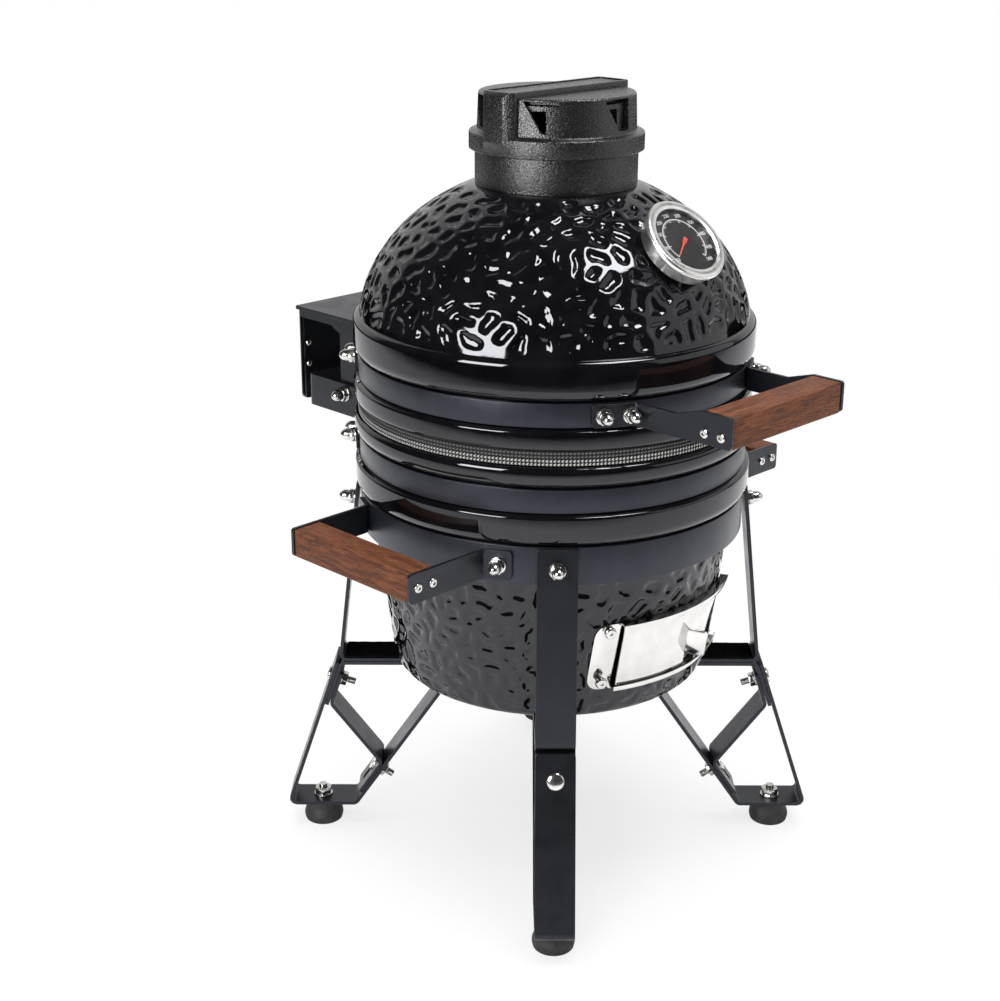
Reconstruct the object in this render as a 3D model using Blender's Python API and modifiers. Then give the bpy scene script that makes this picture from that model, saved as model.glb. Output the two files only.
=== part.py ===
"""Ceramic kamado grill on four bent-strap legs, with a hinged lid, a turning cap, a dial thermometer and a draft door.

Sizes are in metres. The front of the grill, with the lid handle, faces -Y and the lid hinge is at +Y.
"""

import math

import bmesh
import bpy
from mathutils import Matrix, Vector

OBJECT_NAME = "kamado_grill"

# Fits and facets
GAP = 0.0003
TURN_STEPS = 40
SMALL_STEPS = 20
BOLT_STEPS = 12
DIAL_STEPS = 30
BEND_STEPS = 3
FLANGE_STEP_DEG = 3.0

# Steel strap of the legs, handle arms and hinge
STRAP_WIDTH = 0.040
STRAP = 0.004
STRAP_BEND = 0.006

# Legs, in the upright plane through the grill axis
LEG_AZIMUTHS_DEG = {"front_left": -135.0, "front_right": -45.0, "rear_right": 45.0, "rear_left": 135.0}
FOOT_HEIGHT = 0.0252
FOOT_RADIUS = 0.0225
FOOT_NECK_RADIUS = 0.0185
FOOT_CIRCLE_RADIUS = 0.255
FOOT_PLATE_OUTER = 0.0395
FOOT_PLATE_INNER = 0.0385
SHELF_TOP = 0.2085
SHELF_END_RADIUS = 0.060
KNEE_RADIUS = 0.229
LOWER_LEG_STEP = 0.0055
LOWER_LEG_DROP = 0.003
BRACKET_END_RADIUS = 0.104
BRACKET_LENGTH = 0.055
TAB_BEND_RADIUS = 0.0965
TAB_END_RADIUS = 0.062
BRACE_TOP_DROP = 0.012
BRACE_TAB_LENGTH = 0.040
BRACE_FOOT_SHARE = 0.72
BRACE_FOOT_LENGTH = 0.046
LEG_BOLT_DROP = 0.0285
BOLT_RADIUS = 0.004
BOLT_HEAD_RADIUS = 0.009
BOLT_HEAD_HEIGHT = 0.0045
NUT_RADIUS = 0.0075
NUT_HEIGHT = 0.007
BOLT_TAIL = 0.008

# Ceramic base
LIP_RADIUS = 0.208
GROOVE_DEPTH = 0.0083
LIP_RISE = 0.0065
LIP_DROP = 0.0025
RIM_ROUND = 0.003
WALL = 0.022
BASE_FOOT_RADIUS = 0.148
BODY_LOW_RADIUS = 0.1685
BODY_LOW_RISE = 0.0162
BODY_WAIST_RADIUS = 0.1848
BODY_WAIST_RISE = 0.1162
BODY_TOP_RADIUS = 0.189
BODY_HEIGHT = 0.1631
FLOOR = 0.024
RIM_WIDTH = 0.026
MID_LIP_HEIGHT = 0.0342
TOP_LIP_HEIGHT = 0.0235

# Steel bands
BAND = 0.003
LOWER_BAND_HEIGHT = 0.039
UPPER_BAND_HEIGHT = 0.0237
LID_BAND_HEIGHT = 0.0237

# Gaskets
GASKET = 0.0072
GASKET_SETBACK = 0.004
GASKET_WIDTH = 0.019
GASKET_PARTING = 0.0006

# Ceramic lid
LID_LIP_HEIGHT = 0.0223
DOME_LIP_HEIGHT = 0.0413
DOME_RADIUS = 0.203
DOME_RISE = 0.1655
DOME_CENTRE_DROP = 0.0195
DOME_INNER_RADIUS = 0.181
DOME_INNER_RISE = 0.140
SHOULDER_RISE = 0.1495
CHIMNEY_RADIUS = 0.060
DOME_STEPS = 8
DOME_INNER_STEPS = 7

# Top vent
VENT_GASKET = 0.0015
COLLAR_RADIUS = 0.082
COLLAR_HEIGHT = 0.0333
COLLAR_WALL = 0.018
SLEEVE_RADIUS = 0.0735
SLEEVE_WALL = 0.004
SLEEVE_HEIGHT = 0.049
CAP_PLAY = 0.0006
CAP_WALL = 0.0059
CAP_TAPER = 0.0015
CAP_LIP = 0.008
CAP_LIP_HEIGHT = 0.0188
CAP_ROOF = 0.0065
CAP_EDGE = 0.0025
BAR_WIDTH = 0.038
BAR_RAISE = 0.0055
BAR_REACH = 0.010
BAR_CHAMFER = 0.008
WINDOW_COUNT = 6
WINDOW_START_DEG = 198.0
WINDOW_SLANT_DEG = 14.0
WINDOW_WIDTH_DEG = 26.4
WINDOW_HEIGHT = 0.0235
SLEEVE_OFFSET_DEG = 10.0

# Thermometer
DIAL_CASE_RADIUS = 0.045
DIAL_CASE_DEPTH = 0.019
BEZEL_WIDTH = 0.0095
CASE_FLOOR = 0.0132
DIAL = 0.001
NEEDLE = 0.0008
NEEDLE_LENGTH = 0.024
NEEDLE_TAIL = 0.007
NEEDLE_WIDTH = 0.003
NEEDLE_REST_DEG = -143.0
LENS = 0.002
LENS_SETBACK = 0.0008
STEM_RADIUS = 0.004
STEM_LENGTH = 0.075
STEM_PLAY = 0.001
DIAL_ANGLE_DEG = 39.1
STEM_NUT_RADIUS = 0.010
STEM_NUT_HEIGHT = 0.007

# Lid handle and carry handles
GRIP_LENGTH = 0.167
GRIP_ROUND = 0.003
LID_GRIP_FRONT = 0.304
LID_GRIP_DEPTH = 0.038
LID_GRIP_HEIGHT = 0.034
LID_GRIP_LIFT = 0.010
LID_ARM_SWEEP_DEG = 12.0
LID_ARM_FLARE = 0.030
CARRY_GRIP_REACH = 0.288
CARRY_GRIP_DEPTH = 0.037
CARRY_GRIP_HEIGHT = 0.033
CARRY_ARM_SWEEP_DEG = 8.0

# Lid hinge
HINGE_REACH = 0.204
HINGE_DROP = 0.0075
HINGE_SIDE_GAP = 0.0006
HOOD_WIDTH = 0.216
HOOD_REACH = 0.290
HOOD_TOP_RISE = 0.0131
HOOD_DROP = 0.0255
HOOD_STRIP = 0.0075
HOOD_LIP_GAP = 0.0015
EAR_RADIUS = 0.012
EAR_BOLT_PLAY = 0.0003
FLANGE_SWEEP_DEG = 14.0
BASE_BRACKET_REACH = 0.268
BASE_BRACKET_HEIGHT = 0.035
BASE_BRACKET_EDGE = 0.0105
HINGE_BOLT_RADIUS = 0.005
HINGE_NUT_RADIUS = 0.0085
HINGE_NUT_HEIGHT = 0.013

# Draft door
AIR_HOLE_WIDTH = 0.100
AIR_HOLE_HEIGHT = 0.050
AIR_HOLE_SILL = 0.024
FRAME_SHEET = 0.0015
FRAME_MARGIN = 0.004
FRAME_LOW = 0.0347
FRAME_HEIGHT = 0.076
FRAME_SWEEP_DEG = 66.0
FRAME_HOOK = 0.005
DOOR_STANDOFF = 0.0040
DOOR_PLAY = 0.0012
DOOR_START_DEG = -114.0
DOOR_SWEEP_DEG = 44.0
TAB_START_DEG = -87.0
TAB_LEAN_DEG = 2.0
TAB_REACH = 0.020
TAB_HEIGHT = 0.029
TAB_RISE = 0.020
NOTCH_SWEEP_DEG = 7.0

# Fire bowl and grids inside the base
FIREBOX_FOOT_CLEARANCE = 0.0165
FIREBOX_TOP_CLEARANCE = 0.0177
FIREBOX_WALL = 0.018
FIREBOX_HEIGHT = 0.151
ASH_HEIGHT = 0.050
GRATE_HOLE_RADIUS = 0.070
GRATE_LAP = 0.014
GRATE_HEIGHT = 0.006
GRATE_SLOTS = 5
FIRE_RING_HEIGHT = 0.092
FIRE_RING_WALL = 0.018
GRID_HEIGHT = 0.006
GRID_RIM = 0.008
GRID_BAR = 0.006
GRID_PITCH = 0.020
GRID_SLOTS = 13

# Colour, roughness and metallic value of each finish
FINISHES = {
    "glazed_ceramic": ((0.008, 0.008, 0.009), 0.06, 0.0),
    "coated_steel": ((0.022, 0.023, 0.027), 0.45, 0.0),
    "cast_iron": ((0.035, 0.035, 0.037), 0.60, 0.3),
    "walnut": ((0.190, 0.075, 0.038), 0.50, 0.0),
    "stainless": ((0.780, 0.775, 0.760), 0.16, 1.0),
    "rubber": ((0.018, 0.018, 0.018), 0.70, 0.0),
    "gasket": ((0.300, 0.300, 0.290), 0.95, 0.0),
    "dial": ((0.015, 0.015, 0.016), 0.45, 0.0),
    "needle": ((0.700, 0.060, 0.020), 0.40, 0.0),
    "lens": ((0.950, 0.960, 0.960), 0.03, 0.0),
    "fire_clay": ((0.420, 0.360, 0.290), 0.90, 0.0),
}

# Heights up the stack, from the floor to the top of the lid
BASE_BOTTOM = SHELF_TOP + GAP
LOWER_BAND_LOW = BASE_BOTTOM + BODY_HEIGHT
MID_LIP_LOW = LOWER_BAND_LOW + LOWER_BAND_HEIGHT + 2 * GAP
UPPER_BAND_LOW = MID_LIP_LOW + MID_LIP_HEIGHT
TOP_LIP_LOW = UPPER_BAND_LOW + UPPER_BAND_HEIGHT + 2 * GAP
RIM = TOP_LIP_LOW + TOP_LIP_HEIGHT
BASE_GASKET_LOW = RIM + GAP
LID_GASKET_LOW = BASE_GASKET_LOW + GASKET + GASKET_PARTING
LID_RIM = LID_GASKET_LOW + GASKET + GAP
LID_BAND_LOW = LID_RIM + LID_LIP_HEIGHT
DOME_LIP_LOW = LID_BAND_LOW + LID_BAND_HEIGHT + 2 * GAP
DOME_LIP_TOP = DOME_LIP_LOW + DOME_LIP_HEIGHT
DOME_CENTRE = DOME_LIP_TOP - DOME_CENTRE_DROP
SHOULDER = DOME_CENTRE + SHOULDER_RISE
COLLAR_LOW = SHOULDER + VENT_GASKET + 2 * GAP
COLLAR_TOP = COLLAR_LOW + COLLAR_HEIGHT
CAP_LOW = COLLAR_TOP + GAP
SLEEVE_TOP = COLLAR_TOP + SLEEVE_HEIGHT
ROOF_LOW = SLEEVE_TOP + CAP_PLAY
CAP_TOP = ROOF_LOW + CAP_ROOF
FLOOR_TOP = BASE_BOTTOM + FLOOR

# Radii shared by neighbours
GROOVE_RADIUS = LIP_RADIUS - GROOVE_DEPTH
BAND_RADIUS = GROOVE_RADIUS + GAP + BAND
CAP_BORE = SLEEVE_RADIUS + CAP_PLAY
CAP_RADIUS = CAP_BORE + CAP_WALL
FIREBOX_FOOT_RADIUS = BODY_LOW_RADIUS - WALL - FIREBOX_FOOT_CLEARANCE
FIREBOX_TOP_RADIUS = GROOVE_RADIUS - WALL - FIREBOX_TOP_CLEARANCE

# The grill axis stands behind the middle of the floor print, which ends at the grip and at the hinge hood
HOOD_REAR = HOOD_REACH + GAP / 2
AXIS_Y = (LID_GRIP_FRONT - HOOD_REAR) / 2
HINGE_HEIGHT = RIM - HINGE_DROP

UPRIGHT = Matrix.Rotation(math.radians(90), 4, "X")
SIDEWAYS = Matrix.Rotation(math.radians(90), 4, "Z") @ UPRIGHT


def clear_scene():
    for obj in list(bpy.data.objects):
        bpy.data.objects.remove(obj)


def new_collection(name):
    collection = bpy.data.collections.new(name)
    bpy.context.scene.collection.children.link(collection)
    return collection


def finish_material(name, finish):
    colour, roughness, metallic = FINISHES[finish]
    material = bpy.data.materials.new(f"{name}_{finish}")
    material.use_nodes = True
    shader = material.node_tree.nodes["Principled BSDF"]
    shader.inputs["Base Color"].default_value = (*colour, 1.0)
    shader.inputs["Roughness"].default_value = roughness
    shader.inputs["Metallic"].default_value = metallic
    return material


def new_empty(name, location, parent=None):
    empty = bpy.data.objects.new(name, None)
    empty.empty_display_size = 0.05
    parts.objects.link(empty)
    empty.parent = parent
    empty.location = Vector(location) - (homes[parent.name] if parent else Vector())
    homes[name] = Vector(location) if parent else Vector()
    return empty


def hold(obj, parent, location, rotation):
    """Parents the object to an empty; location counts from the grill axis at the floor."""
    obj.parent = parent
    obj.location = Vector(location) - homes[parent.name]
    obj.rotation_euler = rotation


def add_part(name, mesh, finish, parent, location=(0, 0, 0), rotation=(0, 0, 0)):
    obj = bpy.data.objects.new(name, mesh)
    parts.objects.link(obj)
    hold(obj, parent, location, rotation)
    obj.data.materials.clear()
    obj.data.materials.append(finish_material(name, finish))
    return obj


def add_cutter(name, mesh, parent, location=(0, 0, 0), rotation=(0, 0, 0)):
    obj = bpy.data.objects.new(name, mesh)
    cutters.objects.link(obj)
    hold(obj, parent, location, rotation)
    obj.hide_render = True
    obj.display_type = "WIRE"
    return obj


def combine(target, other, operation):
    modifier = target.modifiers.new(f"{operation.lower()} {other.name}", "BOOLEAN")
    modifier.operation = operation
    modifier.solver = "EXACT"
    modifier.object = other


def baked(obj):
    """The object's mesh with its modifiers applied; the object itself is removed."""
    bpy.context.view_layer.update()
    graph = bpy.context.evaluated_depsgraph_get()
    mesh = bpy.data.meshes.new_from_object(obj.evaluated_get(graph))
    mesh.name = obj.name
    bpy.data.objects.remove(obj)
    return mesh


def prism(name, outline, low, high, place=Matrix.Identity(4)):
    """A flat outline given thickness from low to high along its normal, then turned by place."""
    curve = bpy.data.curves.new(name, "CURVE")
    curve.dimensions = "2D"
    curve.fill_mode = "BOTH"
    curve.extrude = (high - low) / 2
    spline = curve.splines.new("POLY")
    spline.points.add(len(outline) - 1)
    for point, (x, y) in zip(spline.points, outline):
        point.co = (x, y, 0, 1)
    spline.use_cyclic_u = True
    guide = bpy.data.objects.new(name, curve)
    cutters.objects.link(guide)
    mesh = baked(guide)
    shape = bmesh.new()
    shape.from_mesh(mesh)
    bmesh.ops.remove_doubles(shape, verts=shape.verts, dist=1e-6)
    bmesh.ops.recalc_face_normals(shape, faces=shape.faces)
    shape.transform(place @ Matrix.Translation((0, 0, (low + high) / 2)))
    shape.to_mesh(mesh)
    shape.free()
    return mesh


def boxes(name, corners):
    """One mesh of boxes, each given by its low and high corner."""
    shape = bmesh.new()
    for low, high in corners:
        low = Vector(low)
        size = Vector(high) - low
        place = Matrix.Translation(low + size / 2) @ Matrix.Diagonal((*size, 1))
        bmesh.ops.create_cube(shape, size=1, matrix=place)
    mesh = bpy.data.meshes.new(name)
    shape.to_mesh(mesh)
    shape.free()
    return mesh


def rod(name, radius, low, high, place=Matrix.Identity(4), steps=SMALL_STEPS):
    shape = bmesh.new()
    middle = Matrix.Translation((0, 0, (low + high) / 2))
    bmesh.ops.create_cone(
        shape, cap_ends=True, segments=steps, radius1=radius, radius2=radius, depth=high - low, matrix=place @ middle
    )
    mesh = bpy.data.meshes.new(name)
    shape.to_mesh(mesh)
    shape.free()
    return mesh


def profile_mesh(name, profile):
    """A turned piece's half section; a section that leaves the axis free closes on itself."""
    mesh = bpy.data.meshes.new(name)
    count = len(profile)
    edges = [(i, i + 1) for i in range(count - 1)]
    if profile[0][0] > 0:
        edges.append((count - 1, 0))
    mesh.from_pydata([(radius, 0, height) for radius, height in profile], edges, [])
    return mesh


def screw(obj, steps):
    modifier = obj.modifiers.new("turn", "SCREW")
    modifier.steps = steps
    modifier.render_steps = steps
    modifier.use_merge_vertices = True
    modifier.merge_threshold = 0.00001
    modifier.use_smooth_shade = True


def turned(name, profile, finish, parent, location=(0, 0, 0), rotation=(0, 0, 0), steps=TURN_STEPS):
    obj = add_part(name, profile_mesh(name, profile), finish, parent, location, rotation)
    screw(obj, steps)
    return obj


def ring_profile(inner, outer, low, high):
    return [(outer, high), (outer, low), (inner, low), (inner, high)]


def left_of(direction):
    return Vector((-direction.y, direction.x))


def strap_outline(path, bends, thickness):
    """Both edges of a strip along path, with a centreline bend radius at each inner point (0 is a sharp bend)."""
    points = [Vector(point) for point in path]
    left, right = [], []

    def lay(point, normal, stretch=1.0):
        left.append(point + normal * thickness / 2 * stretch)
        right.append(point - normal * thickness / 2 * stretch)

    lay(points[0], left_of((points[1] - points[0]).normalized()))
    for before, corner, after, bend in zip(points, points[1:], points[2:], bends):
        first = (corner - before).normalized()
        second = (after - corner).normalized()
        turn = math.atan2(first.cross(second), first.dot(second))
        if bend == 0:
            lay(corner, (left_of(first) + left_of(second)).normalized(), 1 / math.cos(turn / 2))
            continue
        side = math.copysign(bend, turn)
        start = corner - first * bend * math.tan(abs(turn) / 2)
        centre = start + left_of(first) * side
        for step in range(BEND_STEPS + 1):
            normal = left_of(first)
            normal.rotate(Matrix.Rotation(turn * step / BEND_STEPS, 2))
            lay(centre - normal * side, normal)
    lay(points[-1], left_of((points[-1] - points[-2]).normalized()))
    return left + right[::-1]


def meet(point, direction, height):
    """Where the line through point reaches the height."""
    return point + direction * ((height - point.y) / direction.y)


def polar(radius, azimuth_deg):
    angle = math.radians(azimuth_deg)
    return Vector((radius * math.cos(angle), radius * math.sin(angle)))


def sector(start_deg, sweep_deg, radius):
    """A pie slice of the plan, wide enough to hold everything inside the radius."""
    steps = 4
    rim = [polar(1.5 * radius, start_deg + sweep_deg * i / steps) for i in range(steps + 1)]
    return [Vector((0, 0)), *rim]


def body_radius(height):
    """Outer radius of the base's lower cone."""
    rise = height - BASE_BOTTOM - BODY_LOW_RISE
    slope = (BODY_WAIST_RADIUS - BODY_LOW_RADIUS) / (BODY_WAIST_RISE - BODY_LOW_RISE)
    return BODY_LOW_RADIUS + slope * rise


def dome_point(angle, radius=DOME_RADIUS, rise=DOME_RISE):
    return (radius * math.cos(angle), DOME_CENTRE + rise * math.sin(angle))


def dome_arc(first, last, steps, radius=DOME_RADIUS, rise=DOME_RISE):
    return [dome_point(first + (last - first) * i / steps, radius, rise) for i in range(steps + 1)]


def make_base():
    rounding = []
    for step in range(4):
        angle = math.radians(30 * step)
        reach = (BODY_LOW_RADIUS - BASE_FOOT_RADIUS) * math.cos(angle)
        rounding.append((BASE_FOOT_RADIUS + reach, BASE_BOTTOM + BODY_LOW_RISE * (1 - math.sin(angle))))
    inner_low = BODY_LOW_RADIUS - WALL
    profile = [
        (0, FLOOR_TOP),
        (inner_low - FLOOR / 3, FLOOR_TOP),
        (inner_low, FLOOR_TOP + FLOOR / 3),
        (GROOVE_RADIUS - WALL, MID_LIP_LOW),
        (LIP_RADIUS - RIM_WIDTH, RIM),
        (LIP_RADIUS - RIM_ROUND, RIM),
        (LIP_RADIUS, RIM - RIM_ROUND),
        (LIP_RADIUS, TOP_LIP_LOW + LIP_RISE),
        (GROOVE_RADIUS, TOP_LIP_LOW),
        (GROOVE_RADIUS, UPPER_BAND_LOW),
        (LIP_RADIUS, UPPER_BAND_LOW - LIP_DROP),
        (LIP_RADIUS, MID_LIP_LOW + LIP_RISE),
        (GROOVE_RADIUS, MID_LIP_LOW),
        (GROOVE_RADIUS, LOWER_BAND_LOW),
        (BODY_TOP_RADIUS, LOWER_BAND_LOW - LIP_DROP),
        (BODY_WAIST_RADIUS, BASE_BOTTOM + BODY_WAIST_RISE),
        *rounding,
        (0, BASE_BOTTOM),
    ]
    shell = turned("base_shell", profile, "glazed_ceramic", grill)
    sill = FLOOR_TOP + AIR_HOLE_SILL
    half = AIR_HOLE_WIDTH / 2
    hole = boxes("air_hole", [((-half, -LIP_RADIUS, sill), (half, -LIP_RADIUS / 2, sill + AIR_HOLE_HEIGHT))])
    combine(shell, add_cutter("air_hole", hole, grill), "DIFFERENCE")
    band(grill, "base_lower_band", LOWER_BAND_LOW, LOWER_BAND_HEIGHT)
    band(grill, "base_upper_band", UPPER_BAND_LOW, UPPER_BAND_HEIGHT)
    gasket(grill, "base_gasket", BASE_GASKET_LOW)


def band(parent, name, groove_low, height):
    low = groove_low + GAP
    profile = ring_profile(BAND_RADIUS - BAND, BAND_RADIUS, low, low + height)
    turned(name, profile, "coated_steel", parent)


def gasket(parent, name, low):
    outer = LIP_RADIUS - GASKET_SETBACK
    turned(name, ring_profile(outer - GASKET_WIDTH, outer, low, low + GASKET), "gasket", parent)


def make_lid():
    top = math.asin(SHOULDER_RISE / DOME_RISE)
    low = math.asin(DOME_CENTRE_DROP / DOME_RISE)
    inner_top = math.acos(CHIMNEY_RADIUS / DOME_INNER_RADIUS)
    inside = dome_arc(0, inner_top, DOME_INNER_STEPS, DOME_INNER_RADIUS, DOME_INNER_RISE)
    profile = [
        (CHIMNEY_RADIUS, SHOULDER),
        *dome_arc(top, low, DOME_STEPS),
        (LIP_RADIUS - RIM_ROUND / 2, DOME_LIP_TOP - LIP_DROP),
        (LIP_RADIUS, DOME_LIP_TOP - 2 * LIP_DROP),
        (LIP_RADIUS, DOME_LIP_LOW + LIP_RISE),
        (GROOVE_RADIUS, DOME_LIP_LOW),
        (GROOVE_RADIUS, LID_BAND_LOW),
        (LIP_RADIUS, LID_BAND_LOW - LIP_DROP),
        (LIP_RADIUS, LID_RIM + RIM_ROUND),
        (LIP_RADIUS - RIM_ROUND, LID_RIM),
        (LIP_RADIUS - RIM_WIDTH, LID_RIM),
        *inside,
    ]
    dome = turned("lid_dome", profile, "glazed_ceramic", lid)
    bore = rod("stem_bore", STEM_RADIUS + STEM_PLAY, -STEM_LENGTH, DIAL_CASE_DEPTH)
    combine(dome, add_cutter("stem_bore", bore, lid, dial_seat(), dial_tilt()), "DIFFERENCE")
    band(lid, "lid_band", LID_BAND_LOW, LID_BAND_HEIGHT)
    gasket(lid, "lid_gasket", LID_GASKET_LOW)


def dial_normal():
    """Outward direction of the dome's front slope, as radius and height."""
    angle = math.radians(DIAL_ANGLE_DEG)
    return Vector((math.cos(angle) / DOME_RADIUS, math.sin(angle) / DOME_RISE)).normalized()


def dial_seat():
    radius, height = dome_point(math.radians(DIAL_ANGLE_DEG))
    out = dial_normal() * GAP
    return (0, -radius - out.x, height + out.y)


def dial_tilt():
    normal = dial_normal()
    return (math.atan2(normal.x, normal.y), 0, 0)


def dome_wall_at_dial():
    """Depth of the ceramic behind the dial, along the stem."""
    start = Vector(dome_point(math.radians(DIAL_ANGLE_DEG)))
    normal = dial_normal()
    a = (normal.x / DOME_INNER_RADIUS) ** 2 + (normal.y / DOME_INNER_RISE) ** 2
    b = start.x * normal.x / DOME_INNER_RADIUS**2 + (start.y - DOME_CENTRE) * normal.y / DOME_INNER_RISE**2
    c = (start.x / DOME_INNER_RADIUS) ** 2 + ((start.y - DOME_CENTRE) / DOME_INNER_RISE) ** 2 - 1
    return (b - math.sqrt(b * b - a * c)) / a


def make_thermometer():
    seat, tilt = dial_seat(), dial_tilt()
    well = DIAL_CASE_RADIUS - BEZEL_WIDTH
    back = DIAL_CASE_RADIUS - BEZEL_WIDTH / 2
    case = [
        (0, CASE_FLOOR),
        (well, CASE_FLOOR),
        (well, DIAL_CASE_DEPTH),
        (DIAL_CASE_RADIUS - 0.002, DIAL_CASE_DEPTH),
        (DIAL_CASE_RADIUS, DIAL_CASE_DEPTH - 0.002),
        (DIAL_CASE_RADIUS, CASE_FLOOR),
        (back, CASE_FLOOR - 0.001),
        (back, 0),
        (STEM_RADIUS, 0),
        (STEM_RADIUS, -STEM_LENGTH + STEM_RADIUS),
        (0, -STEM_LENGTH),
    ]
    turned("thermometer_case", case, "stainless", lid, seat, tilt, DIAL_STEPS)
    disc = well - GAP
    dial_low = CASE_FLOOR + GAP
    dial = rod("thermometer_dial", disc, dial_low, dial_low + DIAL, steps=DIAL_STEPS)
    add_part("thermometer_dial", dial, "dial", lid, seat, tilt)
    lens_top = DIAL_CASE_DEPTH - LENS_SETBACK
    lens = rod("thermometer_lens", disc, lens_top - LENS, lens_top, steps=DIAL_STEPS)
    add_part("thermometer_lens", lens, "lens", lid, seat, tilt)
    needle_low = dial_low + DIAL + GAP
    half = NEEDLE_WIDTH / 2
    outline = [(NEEDLE_LENGTH, 0), (0, half), (-NEEDLE_TAIL, half), (-NEEDLE_TAIL, -half), (0, -half)]
    turn = Matrix.Rotation(math.radians(NEEDLE_REST_DEG), 4, "Z")
    needle = prism("thermometer_needle", outline, needle_low, needle_low + NEEDLE, turn)
    add_part("thermometer_needle", needle, "needle", lid, seat, tilt)
    # Flat facets stand in from the true curve inside the dome, so the nut's edge keeps clear of them
    facet = DOME_INNER_RADIUS * (1 - math.cos(math.pi / 4 / DOME_INNER_STEPS))
    edge = STEM_NUT_RADIUS * math.tan(math.pi / TURN_STEPS) + STEM_NUT_RADIUS**2 / (2 * DOME_INNER_RISE)
    nut_top = -dome_wall_at_dial() - facet - edge - 2 * GAP
    bore = STEM_RADIUS + GAP
    nut = ring_profile(bore, STEM_NUT_RADIUS, nut_top - STEM_NUT_HEIGHT, nut_top)
    turned("thermometer_nut", nut, "stainless", lid, seat, tilt, SMALL_STEPS)


def window_cutter(name, start_deg, parent, low, high, inner, outer):
    """Six slanted windows through an upright wall, as one cutter for each window."""
    found = []
    middle = (inner + outer) / 2
    for index in range(WINDOW_COUNT):
        azimuth = start_deg + WINDOW_SLANT_DEG + 360 / WINDOW_COUNT * index
        slant = middle * math.sin(math.radians(WINDOW_SLANT_DEG))
        width = middle * math.sin(math.radians(WINDOW_WIDTH_DEG - WINDOW_SLANT_DEG))
        outline = [(-slant, high), (0, low), (width, low), (width, high)]
        mesh = prism(name, outline, inner, outer, UPRIGHT)
        found.append(add_cutter(f"{name}_{index}", mesh, parent, rotation=(0, 0, math.radians(azimuth + 90))))
    return found


def make_vent():
    gasket_profile = ring_profile(
        CHIMNEY_RADIUS + GAP, COLLAR_RADIUS, SHOULDER + GAP, SHOULDER + GAP + VENT_GASKET
    )
    turned("vent_gasket", gasket_profile, "gasket", lid)
    sleeve_bore = SLEEVE_RADIUS - SLEEVE_WALL
    collar_bore = COLLAR_RADIUS - COLLAR_WALL
    collar = [
        (SLEEVE_RADIUS, SLEEVE_TOP),
        (SLEEVE_RADIUS, COLLAR_TOP),
        (COLLAR_RADIUS, COLLAR_TOP),
        (COLLAR_RADIUS, COLLAR_LOW),
        (collar_bore, COLLAR_LOW),
        (collar_bore, COLLAR_TOP - 2 * SLEEVE_WALL),
        (sleeve_bore, COLLAR_TOP - SLEEVE_WALL / 2),
        (sleeve_bore, SLEEVE_TOP),
    ]
    vent_collar = turned("vent_collar", collar, "cast_iron", lid)
    window_high = SLEEVE_TOP - CAP_PLAY
    window_low = window_high - WINDOW_HEIGHT
    inner, outer = sleeve_bore - SLEEVE_WALL, CAP_RADIUS + CAP_WALL
    sleeve_start = WINDOW_START_DEG - SLEEVE_OFFSET_DEG
    for cutter in window_cutter(
        "sleeve_window", sleeve_start, lid, window_low, window_high - SLEEVE_WALL, inner, outer
    ):
        combine(vent_collar, cutter, "DIFFERENCE")
    lip = CAP_RADIUS + CAP_LIP
    lip_top = CAP_LOW + CAP_LIP_HEIGHT
    cap = [
        (0, CAP_TOP),
        (CAP_RADIUS - CAP_TAPER - CAP_EDGE, CAP_TOP),
        (CAP_RADIUS - CAP_TAPER, CAP_TOP - CAP_EDGE),
        (CAP_RADIUS, lip_top),
        (lip, lip_top - CAP_EDGE / 2),
        (lip, CAP_LOW),
        (CAP_BORE, CAP_LOW),
        (CAP_BORE, ROOF_LOW),
        (0, ROOF_LOW),
    ]
    vent_cap = turned("vent_cap", cap, "cast_iron", lid)
    combine(vent_cap, vent_bar(lip_top), "UNION")
    for cutter in window_cutter("cap_window", WINDOW_START_DEG, lid, window_low, window_high, inner, outer):
        combine(vent_cap, cutter, "DIFFERENCE")


def vent_bar(lip_top):
    """The raised bar over the cap, whose ends run down over the lip."""
    reach = CAP_RADIUS + BAR_REACH
    root = CAP_BORE + CAP_WALL / 2
    top = CAP_TOP + BAR_RAISE
    half = [
        (root, ROOF_LOW + CAP_ROOF / 2),
        (root, CAP_LOW + GAP),
        (reach - BAR_CHAMFER, CAP_LOW + GAP),
        (reach, CAP_LOW + CAP_LIP_HEIGHT * 0.65),
        (reach, top - BAR_CHAMFER / 2),
        (reach - BAR_CHAMFER / 2, top),
    ]
    outline = half + [(-x, z) for x, z in half[::-1]]
    side = BAR_WIDTH / 2
    bar = add_cutter("vent_bar", prism("vent_bar", outline, -side, side, UPRIGHT), lid)
    corner = reach - BAR_CHAMFER
    wide = reach + BAR_CHAMFER
    plan = [(wide, side - 2 * BAR_CHAMFER), (corner, side - GAP), (-corner, side - GAP), (-wide, side - 2 * BAR_CHAMFER)]
    plan = plan + [(x, -y) for x, y in plan[::-1]]
    combine(bar, add_cutter("vent_bar_plan", prism("vent_bar_plan", plan, CAP_LOW / 2, 2 * top), lid), "INTERSECT")
    return bar


def flange_path(radius, offset, sweep_deg):
    """Centreline of a plate that follows a band, from its far end to where it leaves the band."""
    corner = math.degrees(math.asin(offset / radius))
    steps = max(2, round(sweep_deg / FLANGE_STEP_DEG))
    return [polar(radius, corner + sweep_deg * (1 - i / steps)) for i in range(steps + 1)]


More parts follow.
